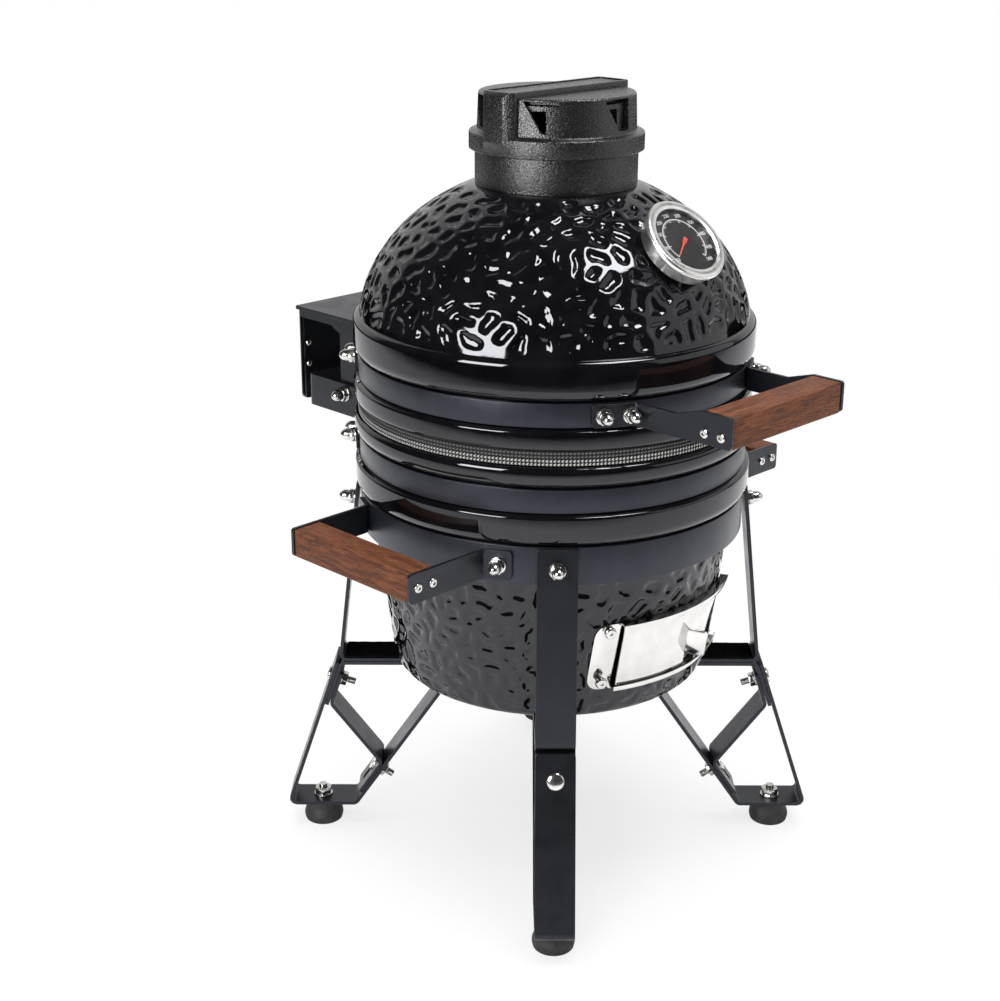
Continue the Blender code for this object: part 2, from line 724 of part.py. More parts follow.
def arm_outline(band_radius, sweep_deg, reach, side):
    """Plan of one handle arm: a plate on the band, a bend and a straight arm to the grip's end."""
    offset = GRIP_LENGTH / 2 + GAP + STRAP / 2
    path = flange_path(band_radius + GAP + STRAP / 2, offset, sweep_deg)
    bends = [0] * (len(path) - 2) + [STRAP_BEND]
    path.append(Vector((reach, offset)))
    return [(x, y * side) for x, y in strap_outline(path, bends, STRAP)]


def grip(name, reach, depth, low, height, azimuth_deg, parent):
    half = GRIP_LENGTH / 2
    mesh = boxes(name, [((reach - depth, -half, low), (reach, half, low + height))])
    obj = add_part(name, mesh, "walnut", parent, rotation=(0, 0, math.radians(azimuth_deg)))
    bevel = obj.modifiers.new("eased edges", "BEVEL")
    bevel.width = GRIP_ROUND
    bevel.segments = 2


def make_carry_handles():
    low = LOWER_BAND_LOW + GAP + (LOWER_BAND_HEIGHT - CARRY_GRIP_HEIGHT) / 2
    for hand, azimuth in (("left", 180), ("right", 0)):
        grip(
            f"carry_handle_{hand}_grip", CARRY_GRIP_REACH, CARRY_GRIP_DEPTH, low, CARRY_GRIP_HEIGHT, azimuth, grill
        )
        for end, side in (("front", -1), ("rear", 1)):
            name = f"carry_handle_{hand}_arm_{end}"
            turn = side if hand == "right" else -side
            outline = arm_outline(BAND_RADIUS, CARRY_ARM_SWEEP_DEG, CARRY_GRIP_REACH - GRIP_ROUND, turn)
            mesh = prism(name, outline, low + GRIP_ROUND / 2, low + CARRY_GRIP_HEIGHT - GRIP_ROUND / 2)
            add_part(name, mesh, "coated_steel", grill, rotation=(0, 0, math.radians(azimuth)))


def make_lid_handle():
    low = LID_BAND_LOW + GAP
    high = low + LID_BAND_HEIGHT + LID_GRIP_LIFT
    grip_low = high - LID_GRIP_HEIGHT
    grip("lid_handle_grip", LID_GRIP_FRONT, LID_GRIP_DEPTH, grip_low, LID_GRIP_HEIGHT, -90, lid)
    grip_back = LID_GRIP_FRONT - LID_GRIP_DEPTH
    flare = grip_back - LID_ARM_FLARE
    ease = GRIP_ROUND / 2
    view = [
        (0, low + GAP),
        (flare, low + GAP),
        (grip_back, grip_low + ease),
        (2 * LID_GRIP_FRONT, grip_low + ease),
        (2 * LID_GRIP_FRONT, high - ease),
        (grip_back, high - ease),
        (flare, low + LID_BAND_HEIGHT - GAP),
        (0, low + LID_BAND_HEIGHT - GAP),
    ]
    for hand, side in (("left", -1), ("right", 1)):
        name = f"lid_handle_arm_{hand}"
        outline = arm_outline(BAND_RADIUS, LID_ARM_SWEEP_DEG, LID_GRIP_FRONT - GRIP_ROUND, side)
        mesh = prism(name, outline, min(low, grip_low) - STRAP, high + STRAP)
        turn = (0, 0, math.radians(-90))
        arm = add_part(name, mesh, "coated_steel", lid, rotation=turn)
        trim = prism(f"{name}_side", view, -GRIP_LENGTH, GRIP_LENGTH, UPRIGHT)
        combine(arm, add_cutter(f"{name}_side", trim, lid, rotation=turn), "INTERSECT")


def bracket_outline(band_radius, offset, reach):
    """Plan of a hinge bracket: plate on the band, cheek, back, cheek and plate again."""
    half = flange_path(band_radius + GAP + STRAP / 2, offset, FLANGE_SWEEP_DEG)
    path = half + [Vector((reach - STRAP / 2, offset))]
    path = path + [Vector((x, -y)) for x, y in path[::-1]]
    sharp = [0] * (len(half) - 2)
    bends = sharp + [STRAP_BEND] * 4 + sharp
    return strap_outline(path, bends, STRAP)


def arc(centre, radius, first_deg, last_deg, steps):
    centre = Vector(centre)
    return [centre + polar(radius, first_deg + (last_deg - first_deg) * i / steps) for i in range(steps + 1)]


def make_hinge():
    back = (0, 0, math.radians(90))
    pivot = (HINGE_REACH, HINGE_HEIGHT)
    half = HOOD_WIDTH / 2
    # The lips stand out between the cheeks, so each bracket keeps this far from the axis above and below its band
    hood_root = math.sqrt((LIP_RADIUS + HOOD_LIP_GAP) ** 2 - (half - STRAP) ** 2)
    hood_low = HINGE_HEIGHT - HOOD_DROP
    hood_top = LID_BAND_LOW + GAP + LID_BAND_HEIGHT + HOOD_TOP_RISE
    side_top = hood_top - STRAP / 2
    strip_low = hood_top - STRAP - HOOD_STRIP
    ear_back = HINGE_REACH + EAR_RADIUS
    flange_low = LID_BAND_LOW + 2 * GAP
    flange_high = LID_BAND_LOW + LID_BAND_HEIGHT
    apron = HOOD_REACH - 1.5 * STRAP
    view = [
        (0, flange_low),
        (hood_root, flange_low),
        (hood_root, LID_RIM),
        *arc(pivot, EAR_RADIUS, 180, 360, 8),
        (ear_back, strip_low - HOOD_STRIP),
        (ear_back + 2 * HOOD_STRIP, strip_low),
        (apron, strip_low),
        (apron, hood_low),
        (2 * HOOD_REACH, hood_low),
        (2 * HOOD_REACH, side_top),
        (hood_root, side_top),
        (hood_root, flange_high),
        (0, flange_high),
    ]
    outline = bracket_outline(BAND_RADIUS, half - STRAP / 2, HOOD_REACH)
    mesh = prism("hinge_lid_bracket", outline, hood_low - STRAP, hood_top)
    hood = add_part("hinge_lid_bracket", mesh, "coated_steel", lid, rotation=back)
    trim = prism("hood_side", view, -2 * half, 2 * half, UPRIGHT)
    combine(hood, add_cutter("hood_side", trim, lid, rotation=back), "INTERSECT")
    for side in (-1, 1):
        combine(hood, hood_corner(side, hood_low, back), "DIFFERENCE")
    edge = math.degrees(math.asin((half + GAP) / (LIP_RADIUS + HOOD_LIP_GAP)))
    front = arc((0, 0), LIP_RADIUS + HOOD_LIP_GAP, -edge, edge, 12)
    plate = [(HOOD_REAR, half + GAP / 2), (HOOD_REAR, -half - GAP / 2), *front]
    top = add_cutter("hood_top", prism("hood_top", plate, hood_top - STRAP, hood_top), lid, rotation=back)
    combine(hood, top, "UNION")

    strap_high = HINGE_HEIGHT + BASE_BRACKET_EDGE
    strap_low = strap_high - BASE_BRACKET_HEIGHT
    offset = half + HINGE_SIDE_GAP + STRAP / 2
    root = math.sqrt((LIP_RADIUS + HOOD_LIP_GAP) ** 2 - (offset - STRAP / 2) ** 2)
    plate_low = UPPER_BAND_LOW + 2 * GAP
    plate_high = UPPER_BAND_LOW + UPPER_BAND_HEIGHT
    view = [
        (0, plate_low),
        (root, plate_low),
        (root + STRAP, strap_low),
        (2 * BASE_BRACKET_REACH, strap_low),
        (2 * BASE_BRACKET_REACH, strap_high),
        (root, strap_high),
        (root, plate_high),
        (0, plate_high),
    ]
    outline = bracket_outline(BAND_RADIUS, offset, BASE_BRACKET_REACH)
    mesh = prism("hinge_base_bracket", outline, plate_low - STRAP, strap_high + STRAP)
    bracket = add_part("hinge_base_bracket", mesh, "coated_steel", grill, rotation=back)
    trim = prism("bracket_side", view, -2 * half, 2 * half, UPRIGHT)
    combine(bracket, add_cutter("bracket_side", trim, grill, rotation=back), "INTERSECT")

    bore = rod("hinge_bore", HINGE_BOLT_RADIUS + EAR_BOLT_PLAY, -2 * half, 2 * half)
    across = (0, math.radians(90), 0)
    location = (0, HINGE_REACH, HINGE_HEIGHT)
    combine(hood, add_cutter("hood_bore", bore, lid, location, across), "DIFFERENCE")
    combine(bracket, add_cutter("bracket_bore", bore, grill, location, across), "DIFFERENCE")
    for hand, side in (("left", -1), ("right", 1)):
        turned(f"hinge_bolt_{hand}", hinge_bolt(), "stainless", grill, location, (0, side * across[1], 0), BOLT_STEPS)


def hood_corner(side, low, back):
    """Cutter that rounds one lower corner of the hood's back plate."""
    half = HOOD_WIDTH / 2
    radius = EAR_RADIUS
    corner = arc((half - radius, low + radius), radius, 0, -90, 4)
    outline = [(2 * half, low + radius), *corner, (half - radius, low - radius), (2 * half, low - radius)]
    outline = [(y * side, z) for y, z in outline]
    mesh = prism("hood_corner", outline, HOOD_REACH - 4 * STRAP, HOOD_REACH + STRAP, SIDEWAYS)
    return add_cutter(f"hood_corner_{side}", mesh, lid, rotation=back)


def hinge_bolt():
    """Pivot bolt along its axis: head inside the ear, shank through both plates, washer and cap nut outside."""
    inside = HOOD_WIDTH / 2 - STRAP - GAP
    outside = HOOD_WIDTH / 2 + HINGE_SIDE_GAP + STRAP + GAP
    return [
        (0, outside + HINGE_NUT_HEIGHT),
        (HINGE_NUT_RADIUS / 2, outside + HINGE_NUT_HEIGHT * 0.92),
        (HINGE_NUT_RADIUS * 0.8, outside + HINGE_NUT_HEIGHT * 0.6),
        (HINGE_NUT_RADIUS, outside + HINGE_NUT_HEIGHT * 0.55),
        (HINGE_NUT_RADIUS, outside),
        (HINGE_BOLT_RADIUS, outside),
        (HINGE_BOLT_RADIUS, inside),
        (HINGE_NUT_RADIUS, inside),
        (HINGE_NUT_RADIUS, inside - HINGE_BOLT_RADIUS),
        (0, inside - HINGE_BOLT_RADIUS),
    ]


def lean_out(mesh, slope, azimuth_deg, low):
    """Shears an upright piece so that it leans outward with the wall it stands on."""
    out = polar(slope, azimuth_deg)
    lean = Matrix.Identity(4)
    lean[0][2], lean[0][3] = out.x, -out.x * low
    lean[1][2], lean[1][3] = out.y, -out.y * low
    mesh.transform(lean)


def make_draft_door():
    low = BASE_BOTTOM + FRAME_LOW
    high = low + FRAME_HEIGHT
    depth = FRAME_SHEET + DOOR_STANDOFF + FRAME_SHEET + DOOR_PLAY
    seat_low, seat_high = body_radius(low) + GAP, body_radius(high) + GAP
    hook_low = body_radius(low + FRAME_HOOK) + GAP + depth
    wall_low = body_radius(low + FRAME_SHEET) + GAP + FRAME_SHEET
    wall_high = body_radius(high - FRAME_SHEET) + GAP + FRAME_SHEET
    frame = [
        (seat_high + depth + FRAME_SHEET, high),
        (seat_high + depth + FRAME_SHEET, high - FRAME_HOOK),
        (seat_high + depth, high - FRAME_HOOK),
        (seat_high + depth, high - FRAME_SHEET),
        (wall_high, high - FRAME_SHEET),
        (wall_low, low + FRAME_SHEET),
        (hook_low, low + FRAME_SHEET),
        (hook_low, low + FRAME_HOOK),
        (hook_low + FRAME_SHEET, low + FRAME_HOOK),
        (hook_low + FRAME_SHEET, low),
        (seat_low, low),
        (seat_high, high),
    ]
    tray = turned("draft_frame", frame, "stainless", grill)
    slice_mesh = prism("frame_slice", sector(-90 - FRAME_SWEEP_DEG / 2, FRAME_SWEEP_DEG, LIP_RADIUS), 0, RIM)
    combine(tray, add_cutter("frame_slice", slice_mesh, grill), "INTERSECT")
    half = AIR_HOLE_WIDTH / 2 + FRAME_MARGIN
    sill = FLOOR_TOP + AIR_HOLE_SILL - FRAME_MARGIN
    lintel = FLOOR_TOP + AIR_HOLE_SILL + AIR_HOLE_HEIGHT + FRAME_MARGIN
    window = boxes("frame_window", [((-half, -LIP_RADIUS, sill), (half, -LIP_RADIUS / 2, lintel))])
    combine(tray, add_cutter("frame_window", window, grill), "DIFFERENCE")

    door_low = low + FRAME_SHEET + GAP
    door_high = high - FRAME_SHEET - GAP
    inner = FRAME_SHEET + DOOR_STANDOFF + GAP
    plate = [
        (body_radius(door_high) + inner + FRAME_SHEET, door_high),
        (body_radius(door_low) + inner + FRAME_SHEET, door_low),
        (body_radius(door_low) + inner, door_low),
        (body_radius(door_high) + inner, door_high),
    ]
    door = turned("draft_door", plate, "stainless", grill)
    slice_mesh = prism("door_slice", sector(DOOR_START_DEG, DOOR_SWEEP_DEG, LIP_RADIUS), 0, RIM)
    combine(door, add_cutter("door_slice", slice_mesh, grill), "INTERSECT")
    tab_low = low + TAB_RISE
    tab_high = tab_low + TAB_HEIGHT
    root = body_radius(tab_low) + inner + FRAME_SHEET / 2
    path = [polar(root, TAB_START_DEG), polar(root + TAB_REACH, TAB_START_DEG + TAB_LEAN_DEG)]
    tab = prism("door_tab", strap_outline(path, [], FRAME_SHEET), tab_low, tab_high)
    slope = (body_radius(tab_high) - body_radius(tab_low)) / TAB_HEIGHT
    lean_out(tab, slope, TAB_START_DEG, tab_low)
    combine(door, add_cutter("door_tab", tab, grill), "UNION")
    notch_high = tab_low - FRAME_SHEET
    notch = prism(
        "door_notch", sector(TAB_START_DEG, NOTCH_SWEEP_DEG, LIP_RADIUS), low + FRAME_HOOK, notch_high
    )
    combine(door, add_cutter("door_notch", notch, grill), "DIFFERENCE")


def make_fire_parts():
    low = FLOOR_TOP + GAP
    top = low + FIREBOX_HEIGHT
    floor_low = low + ASH_HEIGHT
    floor_top = floor_low + FIREBOX_WALL
    grow = (FIREBOX_TOP_RADIUS - FIREBOX_FOOT_RADIUS) / FIREBOX_HEIGHT
    wall = [
        (FIREBOX_TOP_RADIUS, top),
        (FIREBOX_FOOT_RADIUS, low),
        (FIREBOX_FOOT_RADIUS - FIREBOX_WALL, low),
        (FIREBOX_TOP_RADIUS - FIREBOX_WALL, top),
    ]
    firebox = turned("firebox", wall, "fire_clay", grill)
    half = AIR_HOLE_WIDTH / 2
    arch = boxes("ash_arch", [((-half, -LIP_RADIUS, low - FLOOR), (half, -GRATE_HOLE_RADIUS, floor_low - FRAME_MARGIN))])
    combine(firebox, add_cutter("ash_arch", arch, grill), "DIFFERENCE")
    edge = FIREBOX_FOOT_RADIUS - FIREBOX_WALL - GAP
    plate = [
        (edge + grow * (floor_top - low), floor_top),
        (edge + grow * (floor_low - low), floor_low),
        (GRATE_HOLE_RADIUS, floor_low),
        (GRATE_HOLE_RADIUS, floor_top),
    ]
    turned("firebox_floor", plate, "fire_clay", grill)

    grate_radius = GRATE_HOLE_RADIUS + GRATE_LAP
    grate_low = floor_top + GAP
    disc = rod("charcoal_grate", grate_radius, grate_low, grate_low + GRATE_HEIGHT, steps=TURN_STEPS)
    grate = add_part("charcoal_grate", disc, "cast_iron", grill)
    pitch = 2 * GRATE_HOLE_RADIUS / GRATE_SLOTS
    slots = slot_boxes(GRATE_SLOTS, pitch, pitch / 2, GRATE_HOLE_RADIUS, grate_low - GAP, grate_low + 2 * GRATE_HEIGHT)
    combine(grate, add_cutter("grate_slots", boxes("grate_slots", slots), grill), "DIFFERENCE")

    ring_low = top + GAP
    ring_top = ring_low + FIRE_RING_HEIGHT
    ring = ring_profile(FIREBOX_TOP_RADIUS - FIRE_RING_WALL, FIREBOX_TOP_RADIUS, ring_low, ring_top)
    turned("fire_ring", ring, "fire_clay", grill)

    grid_low = ring_top + GAP
    disc = rod("cooking_grid", FIREBOX_TOP_RADIUS, grid_low, grid_low + GRID_HEIGHT, steps=TURN_STEPS)
    grid = add_part("cooking_grid", disc, "stainless", grill)
    inside = FIREBOX_TOP_RADIUS - GRID_RIM
    slots = slot_boxes(GRID_SLOTS, GRID_PITCH, GRID_PITCH - GRID_BAR, inside, grid_low - GAP, grid_low + 2 * GRID_HEIGHT)
    combine(grid, add_cutter("grid_slots", boxes("grid_slots", slots), grill), "DIFFERENCE")


def slot_boxes(count, pitch, width, radius, low, high):
    """Straight slots across a disc, each as long as the circle leaves room for."""
    found = []
    for index in range(count):
        middle = (index - (count - 1) / 2) * pitch
        far = abs(middle) + width / 2
        if far >= radius:
            continue
        reach = math.sqrt(radius**2 - far**2)
        found.append(((middle - width / 2, -reach, low), (middle + width / 2, reach, high)))
    return found


def make_legs():
    plate_mid = FOOT_HEIGHT + GAP + STRAP / 2
    shelf_mid = SHELF_TOP - STRAP / 2
    run_mid = shelf_mid - STRAP - GAP
    shoulder = Vector((BAND_RADIUS + GAP + STRAP / 2, MID_LIP_LOW - GAP))
    knee = Vector((KNEE_RADIUS, shelf_mid))
    upper_path = [shoulder, knee, (SHELF_END_RADIUS, shelf_mid)]

    # Outer face of the lower leg, from its top beside the knee down to the foot plate
    heel = Vector((FOOT_CIRCLE_RADIUS + FOOT_PLATE_OUTER, plate_mid - STRAP / 2))
    crown = Vector((KNEE_RADIUS + LOWER_LEG_STEP, SHELF_TOP - LOWER_LEG_DROP))
    down = (heel - crown).normalized()
    inward = Vector((down.y, -down.x))

    def layer(index):
        """A point on the centreline of a strap in the bolted stack, counted from the outside."""
        return crown + inward * ((index + 0.5) * STRAP + index * GAP)

    toe = Vector((FOOT_CIRCLE_RADIUS - FOOT_PLATE_INNER, plate_mid))
    tab = Vector((TAB_BEND_RADIUS, run_mid))
    lower_path = [layer(0), meet(layer(0), down, plate_mid), toe, tab, (TAB_END_RADIUS, run_mid)]

    corner = meet(layer(1), down, run_mid)
    bracket_path = [(BRACKET_END_RADIUS, run_mid), corner, corner + down * BRACKET_LENGTH]

    rise = (tab - toe).normalized()
    lift = Vector((rise.y, -rise.x)) * (STRAP + GAP)
    brace_top = meet(layer(2), down, run_mid - BRACE_TOP_DROP)
    brace_knee = brace_top + down * BRACE_TAB_LENGTH
    landing = tab.lerp(toe, BRACE_FOOT_SHARE) + lift
    brace_path = [brace_top, brace_knee, landing, landing - rise * BRACE_FOOT_LENGTH]

    bolt_spot = meet(crown, down, SHELF_TOP - LEG_BOLT_DROP)
    tilt = math.atan2(-inward.x, -inward.y)
    along = Matrix.Translation((bolt_spot.x, 0, bolt_spot.y)) @ Matrix.Rotation(tilt, 4, "Y")
    bore = add_cutter("leg_bore", rod("leg_bore", BOLT_RADIUS + GAP, -8 * STRAP, 2 * STRAP, along), grill)
    bolt = leg_bolt(3 * STRAP + 2 * GAP)

    foot = [
        (0, FOOT_HEIGHT),
        (FOOT_NECK_RADIUS, FOOT_HEIGHT),
        (FOOT_NECK_RADIUS, FOOT_HEIGHT * 0.75),
        (FOOT_RADIUS, FOOT_HEIGHT * 0.30),
        (FOOT_RADIUS, 0),
        (0, 0),
    ]

    straps = {}
    for piece, path, bored in (
        ("leg_upper", upper_path, False),
        ("leg_lower", lower_path, True),
        ("leg_bracket", bracket_path, True),
        ("leg_brace", brace_path, True),
    ):
        outline = strap_outline(path, [STRAP_BEND] * (len(path) - 2), STRAP)
        mesh = prism(piece, outline, -STRAP_WIDTH / 2, STRAP_WIDTH / 2, UPRIGHT)
        if bored:
            strap = bpy.data.objects.new(piece, mesh)
            cutters.objects.link(strap)
            hold(strap, grill, (0, 0, 0), (0, 0, 0))
            combine(strap, bore, "DIFFERENCE")
            mesh = baked(strap)
        straps[piece] = mesh

    for corner_name, azimuth in LEG_AZIMUTHS_DEG.items():
        turn = math.radians(azimuth)
        for piece, mesh in straps.items():
            add_part(f"{piece}_{corner_name}", mesh.copy(), "coated_steel", grill, rotation=(0, 0, turn))
        spot = polar(FOOT_CIRCLE_RADIUS, azimuth)
        turned(f"foot_{corner_name}", foot, "rubber", grill, (*spot, 0), (0, 0, turn), SMALL_STEPS)
        spot = polar(bolt_spot.x, azimuth)
        turned(
            f"leg_bolt_{corner_name}", bolt, "stainless", grill, (*spot, bolt_spot.y), (0, tilt, turn), BOLT_STEPS
        )


def leg_bolt(stack):
    """Dome-headed bolt along its axis: head outside the strap stack, nut and thread inside it."""
    nut_low = -stack - GAP - NUT_HEIGHT
    return [
        (0, GAP + BOLT_HEAD_HEIGHT),
        (BOLT_HEAD_RADIUS * 0.6, GAP + BOLT_HEAD_HEIGHT * 0.85),
        (BOLT_HEAD_RADIUS, GAP + BOLT_HEAD_HEIGHT * 0.2),
        (BOLT_HEAD_RADIUS, GAP),
        (BOLT_RADIUS, GAP),
        (BOLT_RADIUS, -stack - GAP),
        (NUT_RADIUS, -stack - GAP),
        (NUT_RADIUS, nut_low),
        (BOLT_RADIUS, nut_low),
        (BOLT_RADIUS, nut_low - BOLT_TAIL),
        (0, nut_low - BOLT_TAIL),
    ]


clear_scene()
homes = {}
parts = new_collection(OBJECT_NAME)
cutters = new_collection(f"{OBJECT_NAME}_cutters")
grill = new_empty("grill_axis", (0, AXIS_Y, 0))
lid = new_empty("lid_pivot", (0, HINGE_REACH, HINGE_HEIGHT), grill)
make_base()
make_fire_parts()
make_legs()
make_carry_handles()
make_draft_door()
make_lid()
make_vent()
make_thermometer()
make_lid_handle()
make_hinge()
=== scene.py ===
"""Kamado ceramic grill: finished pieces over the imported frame, studio light and the photograph's camera.

Sizes are in metres. The front of the grill, with the lid handle, faces -Y and the lid hinge is at +Y.
"""

import math
import random

import bmesh
import bpy
import numpy as np
from mathutils import Matrix, Quaternion, Vector


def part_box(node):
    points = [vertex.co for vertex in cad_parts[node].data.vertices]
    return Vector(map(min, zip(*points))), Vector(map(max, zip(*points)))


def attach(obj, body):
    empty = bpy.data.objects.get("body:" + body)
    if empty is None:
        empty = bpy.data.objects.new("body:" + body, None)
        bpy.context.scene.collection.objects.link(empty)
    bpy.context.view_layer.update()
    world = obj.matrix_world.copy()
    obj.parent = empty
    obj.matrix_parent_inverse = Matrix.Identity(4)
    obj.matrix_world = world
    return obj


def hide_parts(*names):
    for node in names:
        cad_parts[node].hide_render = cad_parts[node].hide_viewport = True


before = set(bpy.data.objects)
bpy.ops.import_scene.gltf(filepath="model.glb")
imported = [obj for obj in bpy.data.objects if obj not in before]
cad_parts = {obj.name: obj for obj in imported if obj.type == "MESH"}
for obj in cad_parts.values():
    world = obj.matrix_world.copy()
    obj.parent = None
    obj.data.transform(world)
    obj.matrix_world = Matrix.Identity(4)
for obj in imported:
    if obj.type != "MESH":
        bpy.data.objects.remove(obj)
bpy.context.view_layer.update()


def span(node, axis):
    """Lowest and highest place of a node along one axis."""
    low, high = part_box(node)
    return low[axis], high[axis]


# Places read from the frame
AXIS_Y = sum(span("base_shell", 1)) / 2
BASE_BOTTOM, RIM = span("base_shell", 2)
LIP_RADIUS = span("base_shell", 0)[1]
LOWER_BAND = LOWER_BAND_LOW, LOWER_BAND_TOP = span("base_lower_band", 2)
UPPER_BAND = UPPER_BAND_LOW, UPPER_BAND_TOP = span("base_upper_band", 2)
BAND_RADIUS = span("base_lower_band", 0)[1]
LID_RIM, SHOULDER = span("lid_dome", 2)
LID_BAND = LID_BAND_LOW, LID_BAND_TOP = span("lid_band", 2)
COLLAR_LOW = span("vent_collar", 2)[0]
CAP_LOW, BAR_TOP = span("vent_cap", 2)

# Placements
ON_AXIS = Matrix.Translation((0, AXIS_Y, 0))
AS_IS = Matrix.Identity(4)

# Fits
GAP = 0.0003
EDGE = 0.0005
WELD = 1e-6
FLAT_DEG = 0.5
MERGE = 1e-7

# Ceramic
FINE_STEPS = 720
TURN_STEPS = 160
WALL = 0.022
FLOOR = 0.024
GROOVE_RADIUS = 0.1997
LIP_RISE = 0.0065
LIP_DROP = 0.0025
LIP_ROUND = 0.0065
RIM_WIDTH = 0.026
BODY_FOOT_ROUND = 0.017
BODY_LOW_RADIUS = 0.1685
BODY_LOW_RISE = 0.0162
BODY_WAIST_RADIUS = 0.1848
BODY_WAIST_RISE = 0.1162
BODY_TOP_RADIUS = 0.189
DOME_LIP_HEIGHT = 0.0413
DOME_RADIUS = 0.203
DOME_RISE = 0.1655
DOME_CENTRE_DROP = 0.0195
DOME_INNER_RADIUS = 0.181
DOME_INNER_RISE = 0.140
DOME_STEPS = 40
CHIMNEY_RADIUS = 0.060
DOME_LIP_TOP = LID_BAND_TOP + GAP + DOME_LIP_HEIGHT
DOME_CENTRE = DOME_LIP_TOP - DOME_CENTRE_DROP
FLOOR_TOP = BASE_BOTTOM + FLOOR
AIR_HOLE_WIDTH = 0.100
AIR_HOLE_HEIGHT = 0.050
AIR_HOLE_SILL = 0.024

# Bean-shaped dimples pressed into the ceramic
ROW = 0.0016
BEAN_RADIUS = 0.0092
BEAN_HALF_SHORT = 0.0042
BEAN_HALF_LONG = 0.0078
BEAN_SHRINK = 0.75
BEAN_BEND = 0.0018
BEAN_SPACING = 0.0118
BEAN_TRIES = 20000
BEAN_MARGIN = 0.0045
BEAN_FADE = 0.0030
BEAN_RIDGE_HALF = 0.0016
BEAN_FLANK = 0.0068
BEAN_EASE = 0.35
DOME_BEAN_DEPTH = 0.0025
BODY_BEAN_DEPTH = 0.0018
DOME_SEED = 11
BODY_SEED = 7

# Gaskets
GASKET_WIDTH = 0.019
GASKET_RIBS = 2
GASKET_RIB_DEPTH = 0.0026
GASKET_RIB_STEPS = 6
GASKET_STEPS = 240

# Straps, nuts and screws
STRAP = 0.004
STRAP_CORNER = 0.0035
STRAP_WIDTH = 0.040
STRAP_STEEP = 0.9
# Near-black sheet on each shelf top: painted shade for the body's shadow and dark reflection there
SHADE_SHEET_INNER_RADIUS = 0.1635
SHADE_SHEET_OUTER_RADIUS = 0.2240
SHADE_SHEET_THICKNESS = 0.002
SHADE_SHEET_INSET = 0.0006
SHADE_SHEET_RAGGED = 0.0004
SHADE_SHEET_STEPS = 12
SHADE_SHEET_SEED = 11
NUT_STEPS = 24
HEAD_STEPS = 6
WASHER_RADIUS = 0.0085
WASHER = 0.0014
HEX_RADIUS = 0.0080
HEX_HEIGHT = 0.0055
CAP_NUT_RADIUS = 0.0062
CAP_NUT_HEIGHT = 0.0178
CAP_NUT_NECK = 0.003
SCREW_RADIUS = 0.0048
SCREW_HEIGHT = 0.0022
SCREW_CROWN = 0.75
SOCKET_RADIUS = 0.0020
SOCKET_DEPTH = 0.0012
STUD_RADIUS = 0.004
STUD_TAIL = 0.009
THREAD_PITCH = 0.00125
PLATE_RADIUS = BAND_RADIUS + GAP + STRAP

# Legs, in the upright plane through the grill axis
LEG_AZIMUTHS_DEG = {"front_left": -135.0, "front_right": -45.0, "rear_right": 45.0, "rear_left": 135.0}
FOOT_CIRCLE_RADIUS = 0.255
FOOT_RADIUS = 0.0225
FOOT_NECK_RADIUS = 0.0185
FOOT_TAPER = 0.002
FOOT_EDGE_ROUND = 0.0015
FOOT_BULGE_SHARE = 0.30
FOOT_BULGE_ROUND = 0.0040
FOOT_NECK_SHARE = 0.72
FOOT_NECK_ROUND = 0.0030
FOOT_HEIGHT = span("foot_front_left", 2)[1]
FOOT_STEPS = 64
LEG_CROWN = Vector((0.2345, 0.2055))
LEG_HEEL = Vector((0.2945, 0.0255))
LEG_BOLT_HEIGHT = 0.180
LEG_BOLT_HEAD_RADIUS = 0.009
LEG_BOLT_HEAD_HEIGHT = 0.0036
LEG_STACK = 3 * STRAP + 2 * GAP
LEG_SHOULDER = Vector((0.2053, 0.4112))
LEG_KNEE = Vector((0.229, 0.2065))
LEG_TOP_NUT_HEIGHT = 0.390
STRUT_TOP = Vector((0.0965, 0.2022))
STRUT_TOE = Vector((0.2165, 0.0275))
BRACE_BOLT_SHARE = 0.785
SLOT_SHARE = 0.84
SLOT_LENGTH = 0.024
SLOT_WIDTH = 0.0085
FOOT_NUT_SIZE = 1.25

# Handles
GRIP_ROUND = 0.0022
GRIP_SETBACK = 0.0004
ARM_FACE = 0.0878
LID_NUT_OFFSETS_DEG = (26.2, 33.5)
LID_SCREW_REACHES = (0.2706, 0.2900)
LID_SCREW_HEIGHT = 0.5435
CARRY_NUT_OFFSET_DEG = 28.8
CARRY_SCREW_REACHES = (0.256, 0.275)

# Hinge
HINGE_REACH = 0.204
HINGE_HEIGHT = 0.486
HINGE_FACE = 0.1129
HINGE_HEAD_FACE = 0.1037
HINGE_HEAD_HEIGHT = 0.005
LID_FLANGE_OFFSETS_DEG = (34.3, 41.5)
BASE_FLANGE_OFFSETS_DEG = (35.8, 43.0)
HOOD_BOLT_SIDE = 0.098
HOOD_BOLT_HEIGHTS = (0.502, 0.526)
HOOD_BOLT_RADIUS = 0.0035
HOOD_BOLT_LENGTH = 0.006
HOOD_BOLT_NECK = HOOD_BOLT_LENGTH * 0.6

